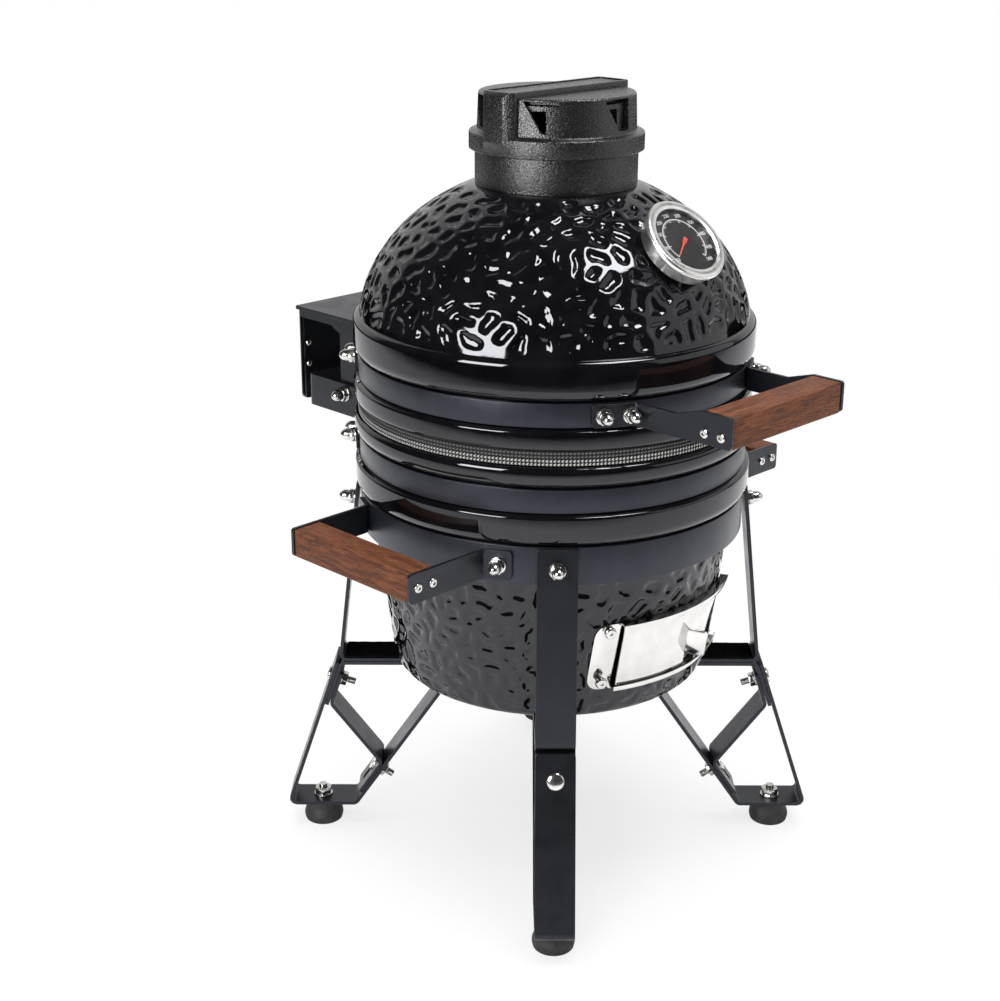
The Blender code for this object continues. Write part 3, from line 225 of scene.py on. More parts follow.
# Top vent
COLLAR_RADIUS = 0.082
COLLAR_TOP = CAP_LOW - GAP
COLLAR_WALL = 0.018
COLLAR_SKIRT = 0.003
COLLAR_TOP_ROUND = 0.0015
COLLAR_LOW_ROUND = 0.0008
SLEEVE_RADIUS = 0.0735
SLEEVE_WALL = 0.004
SLEEVE_ROUND = 0.002
SLEEVE_TOP = COLLAR_TOP + 0.049
CAP_PLAY = 0.0006
CAP_BORE = SLEEVE_RADIUS + CAP_PLAY
CAP_RADIUS = CAP_BORE + 0.0059
CAP_TAPER = 0.0015
CAP_LIP = 0.008
CAP_LIP_TOP = CAP_LOW + 0.0188
CAP_ROUND = 0.0025
CAP_LIP_ROUND = 0.002
CAP_LOW_ROUND = 0.001
CAP_ROOF_LOW = SLEEVE_TOP + CAP_PLAY
CAP_TOP = CAP_ROOF_LOW + 0.0065
BAR_HALF_WIDTH = 0.0215
BAR_REACH = CAP_RADIUS + 0.010
BAR_CHAMFER = 0.008
BAR_ROOT = 0.003
BAR_FLARE_TOP = CAP_LOW + 0.0122
BAR_ROUND = 0.0012
BAR_POCKET_RIM = 0.0035
BAR_POCKET_DEPTH = 0.0012
BAR_POCKET_CORNER = 0.005
WINDOW_COUNT = 6
WINDOW_START_DEG = 198.0
WINDOW_SLANT_DEG = 14.0
WINDOW_WIDTH_DEG = 26.4
WINDOW_TOP = SLEEVE_TOP - CAP_PLAY
WINDOW_LOW = WINDOW_TOP - 0.0250
WINDOW_LINTEL = CAP_TOP - 0.0022
WINDOW_CORNER = 0.002
SLEEVE_OFFSET_DEG = 10.0

# Thermometer, in the frame of its seat on the dome
DIAL_ANGLE = math.radians(39.1)
CASE_RADIUS = 0.045
CASE_DEPTH = 0.019
CASE_FLOOR = 0.0132
CASE_BACK_RADIUS = 0.04025
CASE_EDGE = 0.001
BEZEL_SLOPE = 0.003
BEZEL_ROUND = 0.0035
WELL_RADIUS = 0.0355
STEM_RADIUS = 0.004
STEM_LENGTH = 0.075
DIAL_STEPS = 96
DIAL_THICKNESS = 0.001
DIAL_EDGE = 0.0002
LENS_THICKNESS = 0.002
LENS_SETBACK = 0.0008
PRINT_HEIGHT = 0.00012
NEEDLE_REST_DEG = -143.0
NEEDLE_SWEEP_DEG = 270.0
NEEDLE_LENGTH = 0.024
NEEDLE_TAIL = 0.0045
NEEDLE_HALF = 0.0012
NEEDLE_TIP_HALF = 0.0004
BOSS_FRONT = 0.0035
BOSS_HALF = 0.0022
NEEDLE_THICKNESS = 0.0008
SCALE_RADIUS = 0.0248
SCALE_LINE = 0.0007
TICK_COUNT = 46
TICKS_PER_NUMBER = 5
LONG_TICK = 0.0030
SHORT_TICK = 0.0016
TICK_HALF = 0.00022
FIRST_NUMBER = 50
NUMBER_STEP = 50
NUMBER_RADIUS = 0.0300
NUMBER_SIZE = 0.0056

# Draft door, laid out flat and then bent round the body
AIR_HOLE_LOW = FLOOR_TOP + AIR_HOLE_SILL
SHEET = 0.0015
FRAME_LOW = BASE_BOTTOM + 0.0347
FRAME_TOP = FRAME_LOW + 0.076
FRAME_HALF_SWEEP_DEG = 33.0
FRAME_CORNER = 0.016
FRAME_MARGIN = 0.004
FRAME_WINDOW_CORNER = 0.006
FRAME_DEPTH = 0.0082
FRAME_HOOK = 0.005
RAIL_ENDS_DEG = (-114.6, -57.6)
DOOR_INNER = 0.0058
DOOR_ENDS_DEG = (-114.0, -70.0)
DOOR_MARGIN = SHEET + GAP
DOOR_CORNER = 0.002
TAB_AZIMUTH_DEG = -87.0
TAB_LEAN_DEG = 2.0
TAB_REACH = 0.020
NOTCH_SWEEP_DEG = 7.0
NOTCH_CORNER = 0.002
TAB_LOW = FRAME_LOW + 0.020
TAB_TOP = TAB_LOW + 0.029
TAB_CORNER = 0.005
BEND_RADIUS = 0.180
BEND_STEP = 0.003
FRAME_SCREW_HEIGHTS = (0.3130, 0.2545)
STOP_AZIMUTH_DEG = -118.9
FLAT_AZIMUTH_DEG = -61.1
STOP_COLLAR_RADIUS = 0.0040
STOP_COLLAR_HEIGHT = 0.0055
STOP_HEAD_RADIUS = 0.0062
STOP_HEAD_HEIGHT = 0.0034

# Fire parts
FIREBOX_LOW, FIREBOX_TOP = span("firebox", 2)
FIREBOX_FOOT_RADIUS = 0.130
FIREBOX_TOP_RADIUS = span("fire_ring", 0)[1]
FIREBOX_WALL = 0.018
FIREBOX_FLOOR_LOW, FIREBOX_FLOOR_TOP = span("firebox_floor", 2)
GRATE_HOLE_RADIUS = 0.070
CLAY_ROUND = 0.0025
RING_LOW, RING_TOP = span("fire_ring", 2)
GRID_LOW, GRID_TOP = span("cooking_grid", 2)
GRID_ROD = (GRID_TOP - GRID_LOW) / 2
GRID_PITCH = 0.020
GRID_ROD_COUNT = 14
ROD_STEPS = 12

# Values of the finishes
WHITE = (1.0, 1.0, 1.0)
BLUE_SHEEN = (0.84, 0.87, 1.0)
PALE_SHEEN = (0.94, 0.95, 1.0)
CLOUD_FROM = 0.35
CLOUD_TO = 0.65
SMEAR_DISTORTION = 1.5
WOOD_STRETCH = 0.09
WOOD_RING_SCALE = 260.0
WOOD_RING_WAVE = 1.2
WOOD_RING_FROM = 0.38
WOOD_RING_TO = 0.62
WOOD_PORE_SCALE = 1100.0
WOOD_PORE_WAVE = 0.6
WOOD_PORE_FROM = 0.34
WOOD_PORE_TO = 0.50
WOOD_DARK = (0.086, 0.026, 0.009)
WOOD_LIGHT = (0.182, 0.060, 0.021)
WOOD_FLECK = (0.50, 0.44, 0.42)
WOOD_GLOSS = 0.2
WOOD_ROUGH = (0.50, 0.68)
WOOD_RELIEF = 0.0006
CORD = (span("base_gasket", 2)[1] - span("base_gasket", 2)[0]) / GASKET_RIBS
BRAID_PITCH = 0.0038
BRAID_LEAN = 1.1
# Width, as a share of a cord, of the painted shade that darkens each cord's edges towards the groove
BRAID_GROOVE_SHADE = 0.30
# Colour between the threads, and of the painted shade in the grooves
BRAID_DARK = (0.020, 0.020, 0.020)
BRAID_LIGHT = (0.56, 0.56, 0.53)
# Darker braid: painted shade on the lid gasket, which lies in the lid's shadow; the vent gasket uses it too
BRAID_DARKER = (0.15, 0.15, 0.145)
BRAID_FUZZ_SCALE = 900.0
BRAID_ROUGH = (0.8, 0.98)
BRAID_RELIEF = 0.0006
LENS_ALPHA = 0.06
LENS_TINT = (0.01, 0.01, 0.01)
LENS_SMEAR_SCALE = 120.0
LENS_SMEAR_WAVE = 2.0
LENS_ROUGH = (0.02, 0.06)

# Studio
BLACK = (0.0, 0.0, 0.0)
FLOOR_SIZE = 30.0
FLOOR_DARK = (0.90, 0.90, 0.90)
FLOOR_LIGHT = (0.92, 0.92, 0.92)
FLOOR_WHITEN = 0.65
FLOOR_FADE = 1.0
PAPER_SHIFT = 1.2
PAPER_FROM = 2.5
PAPER_TO = 3.2
ROOM_COLOUR = (0.70, 0.70, 0.72)
MIRROR_FROM = 0.40
MIRROR_TO = 0.62
MIRROR_DARK = 0.04
MIRROR_BRIGHT = 1.0
CAMERA_PLACE = (-1.28725, -1.19837, 1.02497)
CAMERA_HEADING_DEG = 44.74
CAMERA_PITCH_DEG = 19.98
CAMERA_ROLL_DEG = 0.276
CAMERA_LENS = 62.64
CAMERA_SENSOR = 36.0
MIDDLE = (0.0, AXIS_Y, 0.60)
LAMP_DISTANCE = 2.3


# Places and shapes


def polar(radius, azimuth_deg, height=0.0):
    """A place by its radius and azimuth about the grill axis."""
    angle = math.radians(azimuth_deg)
    return Vector((radius * math.cos(angle), AXIS_Y + radius * math.sin(angle), height))


def away(azimuth_deg):
    """Level direction that points away from the grill axis."""
    angle = math.radians(azimuth_deg)
    return Vector((math.cos(angle), math.sin(angle), 0))


def seat(point, normal, up=Vector((0, 0, 1))):
    """Placement whose Z axis is the normal and whose Y axis is as near to up as it can be."""
    z = normal.normalized()
    x = up.cross(z).normalized()
    y = z.cross(x)
    place = Matrix((x, y, z)).transposed().to_4x4()
    place.translation = point
    return place


def filleted(corners, steps=4):
    """Outline with rounded corners; each corner is (x, y, reach of the rounding)."""
    outline = []
    count = len(corners)
    for index, (x, y, reach) in enumerate(corners):
        here = Vector((x, y))
        if reach == 0:
            outline.append(here)
            continue
        before = (Vector(corners[index - 1][:2]) - here).normalized() * reach
        after = (Vector(corners[(index + 1) % count][:2]) - here).normalized() * reach
        for step in range(steps + 1):
            share = step / steps
            outline.append(here + before * (1 - share) ** 2 + after * share**2)
    return outline


def block(left, low, right, high, reach=0, steps=4):
    """Outline of a rectangle whose corners are rounded alike."""
    places = [(left, low), (right, low), (right, high), (left, high)]
    return filleted([(*place, reach) for place in places], steps)


def disc(radius, low, high, low_reach=0, top_reach=0, steps=2):
    """Half outline of a round plate."""
    corners = [(0, low, 0), (radius, low, low_reach), (radius, high, top_reach), (0, high, 0)]
    return filleted(corners, steps)


def circle(radius, count):
    """Points evenly round a circle."""
    angles = [math.radians(360 * step / count) for step in range(count)]
    return [Vector((radius * math.cos(angle), radius * math.sin(angle))) for angle in angles]


def finer(line, longest):
    """A line of points with its edges cut into short ones."""
    cut = [line[0]]
    for here, there in zip(line, line[1:]):
        parts = math.ceil((there - here).length / longest)
        cut += [here.lerp(there, part / parts) for part in range(1, parts + 1)]
    return cut


def build_mesh(name, points, faces):
    mesh = bpy.data.meshes.new(name)
    mesh.from_pydata(points, [], faces)
    shaped = bmesh.new()
    shaped.from_mesh(mesh)
    bmesh.ops.remove_doubles(shaped, verts=shaped.verts, dist=MERGE)
    bmesh.ops.recalc_face_normals(shaped, faces=shaped.faces)
    shaped.to_mesh(mesh)
    shaped.free()
    return mesh


def turned_points(outline, steps):
    """Outline points turned round the Z axis, as one row of points for each step."""
    angles = np.arange(steps) * (2 * math.pi / steps)
    radii = np.array([point.x for point in outline])
    heights = np.array([point.y for point in outline])
    points = np.empty((steps, len(outline), 3))
    points[:, :, 0] = np.cos(angles)[:, None] * radii
    points[:, :, 1] = np.sin(angles)[:, None] * radii
    points[:, :, 2] = heights
    return points


def turned_faces(steps, rows):
    faces = []
    for step in range(steps):
        here, there = step * rows, (step + 1) % steps * rows
        for row in range(rows):
            above = (row + 1) % rows
            faces.append((here + row, there + row, there + above, here + above))
    return faces


def turned(name, outline, steps=TURN_STEPS, place=ON_AXIS):
    points = turned_points(outline, steps)
    mesh = build_mesh(name, points.reshape(-1, 3).tolist(), turned_faces(steps, len(outline)))
    mesh.transform(place)
    return mesh


def prism(name, outline, low, high, place=ON_AXIS):
    """A plan outline drawn out from one height to another."""
    count = len(outline)
    points = [(x, y, low) for x, y in outline] + [(x, y, high) for x, y in outline]
    sides = [(i, (i + 1) % count, (i + 1) % count + count, i + count) for i in range(count)]
    ends = [tuple(range(count)), tuple(range(count, 2 * count))]
    mesh = build_mesh(name, points, sides + ends)
    mesh.transform(place)
    return mesh


def joined(name, meshes):
    """Several meshes as one."""
    whole = bmesh.new()
    for mesh in meshes:
        whole.from_mesh(mesh)
        bpy.data.meshes.remove(mesh)
    mesh = bpy.data.meshes.new(name)
    whole.to_mesh(mesh)
    whole.free()
    return mesh


def rounded_edges(mesh, width, sharp_deg=30.0, segments=2, length=None):
    """Bevels the edges that are sharper than an angle, or only those of them that have a length."""
    shaped = bmesh.new()
    shaped.from_mesh(mesh)
    folds = [edge for edge in shaped.edges if len(edge.link_faces) == 2]
    sharp = [edge for edge in folds if edge.calc_face_angle() > math.radians(sharp_deg)]
    if length:
        sharp = [edge for edge in sharp if abs(edge.calc_length() - length) < length / 10]
    bmesh.ops.bevel(
        shaped, geom=sharp, offset=width, segments=segments, profile=0.5, affect="EDGES", clamp_overlap=True
    )
    shaped.to_mesh(mesh)
    shaped.free()
    return mesh


def add_object(name, data):
    thing = bpy.data.objects.new(name, data)
    bpy.context.scene.collection.objects.link(thing)
    return thing


def carve(mesh, cutters, operation="DIFFERENCE"):
    """The mesh after each cutter has been taken from it, or joined to it."""
    work = add_object("work", mesh)
    tools = []
    for cutter in cutters:
        tool = add_object("tool", cutter)
        tools.append(tool)
        modifier = work.modifiers.new("carve", "BOOLEAN")
        modifier.operation = operation
        modifier.solver = "EXACT"
        modifier.object = tool
    bpy.context.view_layer.update()
    graph = bpy.context.evaluated_depsgraph_get()
    result = bpy.data.meshes.new_from_object(work.evaluated_get(graph))
    result.name = mesh.name
    for thing in [work, *tools]:
        bpy.data.objects.remove(thing)
    return result


def add_piece(name, mesh, finish, body, stands_for=(), smooth_deg=35.0):
    """Puts a mesh in the scene as a piece that rides on a body."""
    mesh.materials.clear()
    mesh.materials.append(finish)
    mesh.polygons.foreach_set("use_smooth", [True] * len(mesh.polygons))
    mesh.set_sharp_from_angle(angle=math.radians(smooth_deg))
    piece = add_object(name, mesh)
    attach(piece, body)
    if stands_for:
        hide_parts(*stands_for)
    return piece


def add_finished(node, mesh, finish, body, smooth_deg=35.0):
    """Puts a mesh in the scene in place of a node."""
    return add_piece(f"{node}_finished", mesh, finish, body, [node], smooth_deg)


def eased(node, finish, body, corner=0.0, cutters=()):
    """Puts a copy of a node's solid in its place: flat faces whole, strap ends rounded, edges eased."""
    shaped = bmesh.new()
    shaped.from_mesh(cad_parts[node].data)
    bmesh.ops.remove_doubles(shaped, verts=shaped.verts, dist=WELD)
    limit = math.radians(FLAT_DEG)
    bmesh.ops.dissolve_limit(shaped, angle_limit=limit, verts=shaped.verts, edges=shaped.edges)
    mesh = bpy.data.meshes.new(f"{node}_eased")
    shaped.to_mesh(mesh)
    shaped.free()
    if corner:
        rounded_edges(mesh, corner, sharp_deg=60.0, segments=4, length=STRAP)
    rounded_edges(mesh, EDGE)
    if cutters:
        mesh = carve(mesh, cutters)
    piece = add_finished(node, mesh, finish, body)
    piece.modifiers.new("even shading", "WEIGHTED_NORMAL").keep_sharp = True


# Shaders


def feed(node, inputs):
    """Sets each of a node's inputs to a value, or links it to another node's output."""
    for socket, source in inputs.items():
        if isinstance(source, bpy.types.NodeSocket):
            node.id_data.links.new(source, node.inputs[socket])
        else:
            node.inputs[socket].default_value = source


def add_node(tree, kind, inputs=(), **settings):
    """The outputs of a new node."""
    node = tree.nodes.new(f"ShaderNode{kind}")
    for name, value in settings.items():
        setattr(node, name, value)
    feed(node, dict(inputs))
    return node.outputs


def new_finish(name, metallic=0.0, gloss=0.5, sheen=WHITE):
    """An empty finish, with its node tree, its shader and the place on the object."""
    finish = bpy.data.materials.new(name)
    finish.use_nodes = True
    tree = finish.node_tree
    shader = tree.nodes["Principled BSDF"]
    feed(shader, {"Metallic": metallic, "Specular IOR Level": gloss, "Specular Tint": (*sheen, 1.0)})
    return finish, tree, shader, add_node(tree, "TexCoord")["Object"]


def add_noise(tree, vector, scale, detail=5.0, distortion=0.0):
    inputs = {"Vector": vector, "Scale": scale, "Detail": detail, "Distortion": distortion}
    return add_node(tree, "TexNoise", inputs)["Fac"]


def add_ramp(tree, factor, start, first, end, last):
    """A colour that goes from first to last while a factor goes from start to end."""
    ramp = tree.nodes.new("ShaderNodeValToRGB")
    for element, place, colour in zip(ramp.color_ramp.elements, (start, end), (first, last)):
        element.position = place
        element.color = (*colour, 1.0)
    feed(ramp, {"Fac": factor})
    return ramp.outputs["Color"]


def add_range(tree, factor, low, high, start=0.3, end=0.7):
    """A factor from start to end stretched between two values."""
    inputs = {"Value": factor, "From Min": start, "From Max": end, "To Min": low, "To Max": high}
    return add_node(tree, "MapRange", inputs)["Result"]


def add_relief(tree, height, depth):
    return add_node(tree, "Bump", {"Height": height, "Distance": depth})["Normal"]


def add_math(tree, operation, first, second):
    """One sum on two values, each a number or a node's output."""
    return add_node(tree, "Math", {0: first, 1: second}, operation=operation)["Value"]


def add_mix(tree, factor, first, second):
    """A shader that goes from first to second as a factor goes from 0 to 1."""
    return add_node(tree, "MixShader", {"Fac": factor, 1: first, 2: second})["Shader"]


def surface(name, dark, light, rough, cloud, grain, depth, metallic=0.0, gloss=0.5, sheen=WHITE):
    """A finish whose colour and roughness drift in soft clouds, over a fine grain in relief."""
    finish, tree, shader, place = new_finish(name, metallic, gloss, sheen)
    clouds = add_noise(tree, place, cloud)
    smears = add_noise(tree, place, cloud / 3, distortion=SMEAR_DISTORTION)
    feed(shader, {
        "Base Color": add_ramp(tree, clouds, CLOUD_FROM, dark, CLOUD_TO, light),
        "Roughness": add_range(tree, smears, *rough),
        "Normal": add_relief(tree, add_noise(tree, place, grain, detail=3.0), depth),
    })
    return finish


def wood(name, along):
    """Dark reddish wood whose grain runs along one axis."""
    finish, tree, shader, place = new_finish(name, gloss=WOOD_GLOSS)
    scale = [1.0, 1.0, 1.0]
    scale[along] = WOOD_STRETCH
    grain = add_node(tree, "Mapping", {"Vector": place, "Scale": scale})["Vector"]
    rings = add_noise(tree, grain, WOOD_RING_SCALE, detail=4.0, distortion=WOOD_RING_WAVE)
    pores = add_noise(tree, grain, WOOD_PORE_SCALE, detail=6.0, distortion=WOOD_PORE_WAVE)
    tint = add_ramp(tree, rings, WOOD_RING_FROM, WOOD_DARK, WOOD_RING_TO, WOOD_LIGHT)
    flecks = add_ramp(tree, pores, WOOD_PORE_FROM, WOOD_FLECK, WOOD_PORE_TO, WHITE)
    feed(shader, {
        "Base Color": add_node(tree, "VectorMath", {0: tint, 1: flecks}, operation="MULTIPLY")["Vector"],
        "Roughness": add_range(tree, rings, *WOOD_ROUGH),
        "Normal": add_relief(tree, pores, WOOD_RELIEF),
    })
    return finish


def woven(name, light):
    """Braided cords round the grill axis, each with threads that meet in a V along its middle; the colour
    darkens towards the grooves between the cords as painted shade.
    """
    finish, tree, shader, place = new_finish(name)
    split = add_node(tree, "SeparateXYZ", {"Vector": place})
    turn = add_math(tree, "ARCTAN2", add_math(tree, "SUBTRACT", split["Y"], AXIS_Y), split["X"])
    around = add_math(tree, "MULTIPLY", turn, LIP_RADIUS)
    height = add_math(tree, "SUBTRACT", split["Z"], RIM + GAP)
    inward = add_math(tree, "PINGPONG", height, CORD / 2)
    lean = add_math(tree, "MULTIPLY", inward, BRAID_LEAN)
    wave = add_math(tree, "MULTIPLY", add_math(tree, "ADD", around, lean), 2 * math.pi / BRAID_PITCH)
    threads = add_range(tree, add_math(tree, "SINE", wave, 0.0), 0.0, 1.0, -1.0, 1.0)
    fuzz = add_noise(tree, place, BRAID_FUZZ_SCALE)
    # Painted shade: the threads fade to the dark braid colour towards the grooves between the cords
    lit = add_math(tree, "MULTIPLY", threads, add_range(tree, inward, 0.0, 1.0, 0.0, CORD * BRAID_GROOVE_SHADE))
    feed(shader, {
        "Base Color": add_ramp(tree, lit, CLOUD_FROM, BRAID_DARK, CLOUD_TO, light),
        "Roughness": add_range(tree, fuzz, *BRAID_ROUGH),
        "Normal": add_relief(tree, add_math(tree, "ADD", threads, fuzz), BRAID_RELIEF),
    })
    return finish


def clear_lens(name):
    """Thin clear cover with faint wipe marks."""
    finish, tree, shader, place = new_finish(name)
    smears = add_noise(tree, place, LENS_SMEAR_SCALE, distortion=LENS_SMEAR_WAVE)
    feed(shader, {
        "Base Color": (*LENS_TINT, 1.0),
        "Roughness": add_range(tree, smears, *LENS_ROUGH),
        "Alpha": LENS_ALPHA,
    })
    return finish


# Finishes
GLAZE = surface(
    "glazed_ceramic", (0.0025, 0.0025, 0.003), (0.005, 0.005, 0.006), (0.03, 0.08),
    cloud=30.0, grain=110.0, depth=0.00005, gloss=0.52, sheen=PALE_SHEEN,
)
COAT = surface(
    "coated_steel", (0.002, 0.0023, 0.0032), (0.004, 0.0045, 0.006), (0.30, 0.40),
    cloud=60.0, grain=2200.0, depth=0.00004, sheen=BLUE_SHEEN,
)
# Near-black matte finish of the shelf sheets, which are painted shade
SHADE_SHEET = surface(
    "painted_shade_sheet", (0.003, 0.003, 0.003), (0.007, 0.007, 0.008), (0.9, 1.0),
    cloud=300.0, grain=1500.0, depth=0.0008, gloss=0.0,
)
BAND_COAT = surface(
    "band_coat", (0.008, 0.009, 0.013), (0.012, 0.013, 0.018), (0.30, 0.38),
    cloud=60.0, grain=1500.0, depth=0.00006, sheen=BLUE_SHEEN,
)
IRON = surface(
    "cast_iron", (0.004, 0.004, 0.005), (0.012, 0.012, 0.013), (0.21, 0.32),
    cloud=900.0, grain=640.0, depth=0.0006, metallic=0.10, gloss=0.8,
)
POLISHED = surface(
    "polished_stainless", (0.60, 0.59, 0.57), (0.67, 0.66, 0.645), (0.05, 0.11),
    cloud=60.0, grain=180.0, depth=0.000003, metallic=1.0,
)
SATIN = surface(
    "satin_stainless", (0.78, 0.77, 0.755), (0.88, 0.875, 0.86), (0.24, 0.36),
    cloud=120.0, grain=900.0, depth=0.00001, metallic=1.0,
)
HARDWARE = surface(
    "stainless_hardware", (0.50, 0.49, 0.47), (0.70, 0.69, 0.67), (0.12, 0.26),
    cloud=220.0, grain=1500.0, depth=0.00002, metallic=1.0,
)
RODS = surface(
    "stainless_rods", (0.42, 0.41, 0.40), (0.60, 0.59, 0.57), (0.22, 0.38),
    cloud=120.0, grain=1300.0, depth=0.00003, metallic=1.0,
)
RUBBER = surface(
    "rubber", (0.010, 0.010, 0.010), (0.022, 0.022, 0.022), (0.55, 0.75),
    cloud=150.0, grain=1400.0, depth=0.00008,
)
CLAY = surface(
    "fire_clay", (0.30, 0.25, 0.20), (0.46, 0.40, 0.33), (0.80, 0.95),
    cloud=45.0, grain=500.0, depth=0.0004,
)
DIAL = surface(
    "dial", (0.008, 0.008, 0.009), (0.014, 0.014, 0.015), (0.40, 0.55),
    cloud=200.0, grain=2500.0, depth=0.00001,
)
PRINT = surface(
    "dial_print", (0.72, 0.72, 0.71), (0.80, 0.80, 0.79), (0.45, 0.55),
    cloud=300.0, grain=2500.0, depth=0.00001,
)
RED = surface(
    "needle", (0.55, 0.055, 0.025), (0.70, 0.085, 0.040), (0.35, 0.45),
    cloud=300.0, grain=2000.0, depth=0.00001,
)
GASKET = woven("gasket", BRAID_LIGHT)
# The darker braid is painted shade for the lid gasket under the lid
DARK_GASKET = woven("dark_gasket", BRAID_DARKER)
GRIP_ALONG_X = wood("wood_along_x", 0)
GRIP_ALONG_Y = wood("wood_along_y", 1)
LENS = clear_lens("lens")


# Ceramic, bands and gaskets


def wall_lengths(stretch):
    """Distance of each point along a stretch of wall."""
    steps = [(after - before).length for before, after in zip(stretch, stretch[1:])]
    return np.concatenate(([0.0], np.cumsum(steps)))


def bean_field(stretch, seed):
    """Beans spread over a turned stretch of wall, as three points on each bean's bent middle line.

    Later beans are shorter, so that they fill the gaps that the earlier ones leave.
    """
    chance = random.Random(seed)
    radii = np.array([point.x for point in stretch])
    heights = np.array([point.y for point in stretch])
    lengths = wall_lengths(stretch)
    low, high = BEAN_MARGIN, lengths[-1] - BEAN_MARGIN
    taken = np.empty((0, 3))
    for attempt in range(BEAN_TRIES):
        middle = chance.uniform(low, high)
        azimuth = chance.uniform(0, 2 * math.pi)
        lean = chance.uniform(0, math.pi)
        shrink = 1 - BEAN_SHRINK * attempt / BEAN_TRIES
        half = chance.uniform(BEAN_HALF_SHORT, BEAN_HALF_LONG) * shrink
        bend = chance.uniform(-BEAN_BEND, BEAN_BEND)
        if chance.random() * LIP_RADIUS > np.interp(middle, lengths, radii):
            continue
        trial = np.empty((3, 3))
        places = []
        for row, share in enumerate((-1, 0, 1)):
            run, lift = half * share, bend * (1 - 2 * share * share)
            place = middle + run * math.sin(lean) + lift * math.cos(lean)
            radius = np.interp(place, lengths, radii)
            angle = azimuth + (run * math.cos(lean) - lift * math.sin(lean)) / radius
            height = np.interp(place, lengths, heights)
            trial[row] = radius * math.cos(angle), radius * math.sin(angle), height
            places.append(place)
        if min(places) < low or max(places) > high:
            continue
        gaps = np.linalg.norm(taken[:, None, :] - trial[None, :, :], axis=2)
        if gaps.size and gaps.min() < BEAN_SPACING:
            continue
        taken = np.vstack((taken, trial))
    return taken.reshape(-1, 3, 3)


def segment_gaps(points, first, last):
    """Distance of each point from a straight segment."""
    run = last - first
    share = np.clip((points - first) @ run / (run @ run), 0, 1)
    return np.linalg.norm(points - first - share[:, None] * run, axis=1)


def bean_hollows(points, beans):
    """How deep each point lies, from 0 on the ridges between beans to 1 on a wide bean's middle line."""
    reach = BEAN_HALF_LONG + 3 * BEAN_RADIUS
    nearest = np.full(len(points), reach)
    second = np.full(len(points), reach)
    for bean in beans:
        near = np.linalg.norm(points - bean[1], axis=1) < reach
        close = points[near]
        gaps = np.minimum(segment_gaps(close, bean[0], bean[1]), segment_gaps(close, bean[1], bean[2]))
        second[near] = np.minimum(second[near], np.maximum(nearest[near], gaps))
        nearest[near] = np.minimum(nearest[near], gaps)
    inside = np.minimum(BEAN_RADIUS - nearest, (second - nearest) / 2 - BEAN_RIDGE_HALF)
    share = np.clip(inside / BEAN_FLANK, 0, 1)
    eased_share = np.where(share < BEAN_EASE, share * share / (2 * BEAN_EASE), share - BEAN_EASE / 2)
    return np.sin(np.pi / 2 * eased_share / (1 - BEAN_EASE / 2))


def dimpled(name, outline, low, high, inside, seed, depth):
    """A turned piece with beans pressed into its rising outer wall between two heights."""
    first = next(i for i, point in enumerate(outline) if point.y >= low and point.x > inside)
    last = next(i for i in range(first, len(outline)) if outline[i].y > high)
    wall = finer(outline[first:last], ROW)
    outline = outline[:first] + wall + outline[last:]
    last = first + len(wall)
    points = turned_points(outline, FINE_STEPS)
    patch = points[:, first:last].reshape(-1, 3)
    lengths = wall_lengths(wall)
    fade = np.clip(np.minimum(lengths, lengths[-1] - lengths) / BEAN_FADE, 0, 1)
    hollows = bean_hollows(patch, bean_field(wall, seed)) * np.tile(fade, FINE_STEPS)
    normals = []
    for row in range(first, last):
        along = (outline[row + 1] - outline[row - 1]).normalized()
        normals.append(Vector((along.y, -along.x)))
    outward = turned_points(normals, FINE_STEPS).reshape(-1, 3)
    sunk = patch - outward * (depth * hollows)[:, None]
    points[:, first:last] = sunk.reshape(FINE_STEPS, len(wall), 3)
    mesh = build_mesh(name, points.reshape(-1, 3).tolist(), turned_faces(FINE_STEPS, len(outline)))
    mesh.transform(ON_AXIS)
    return mesh


def lip(low, high):
    """A ceramic lip between two grooves."""
    return [
        (GROOVE_RADIUS, low, 0),
        (LIP_RADIUS, low + LIP_RISE, LIP_ROUND),
        (LIP_RADIUS, high - LIP_DROP, LIP_DROP),
        (GROOVE_RADIUS, high, 0),
    ]


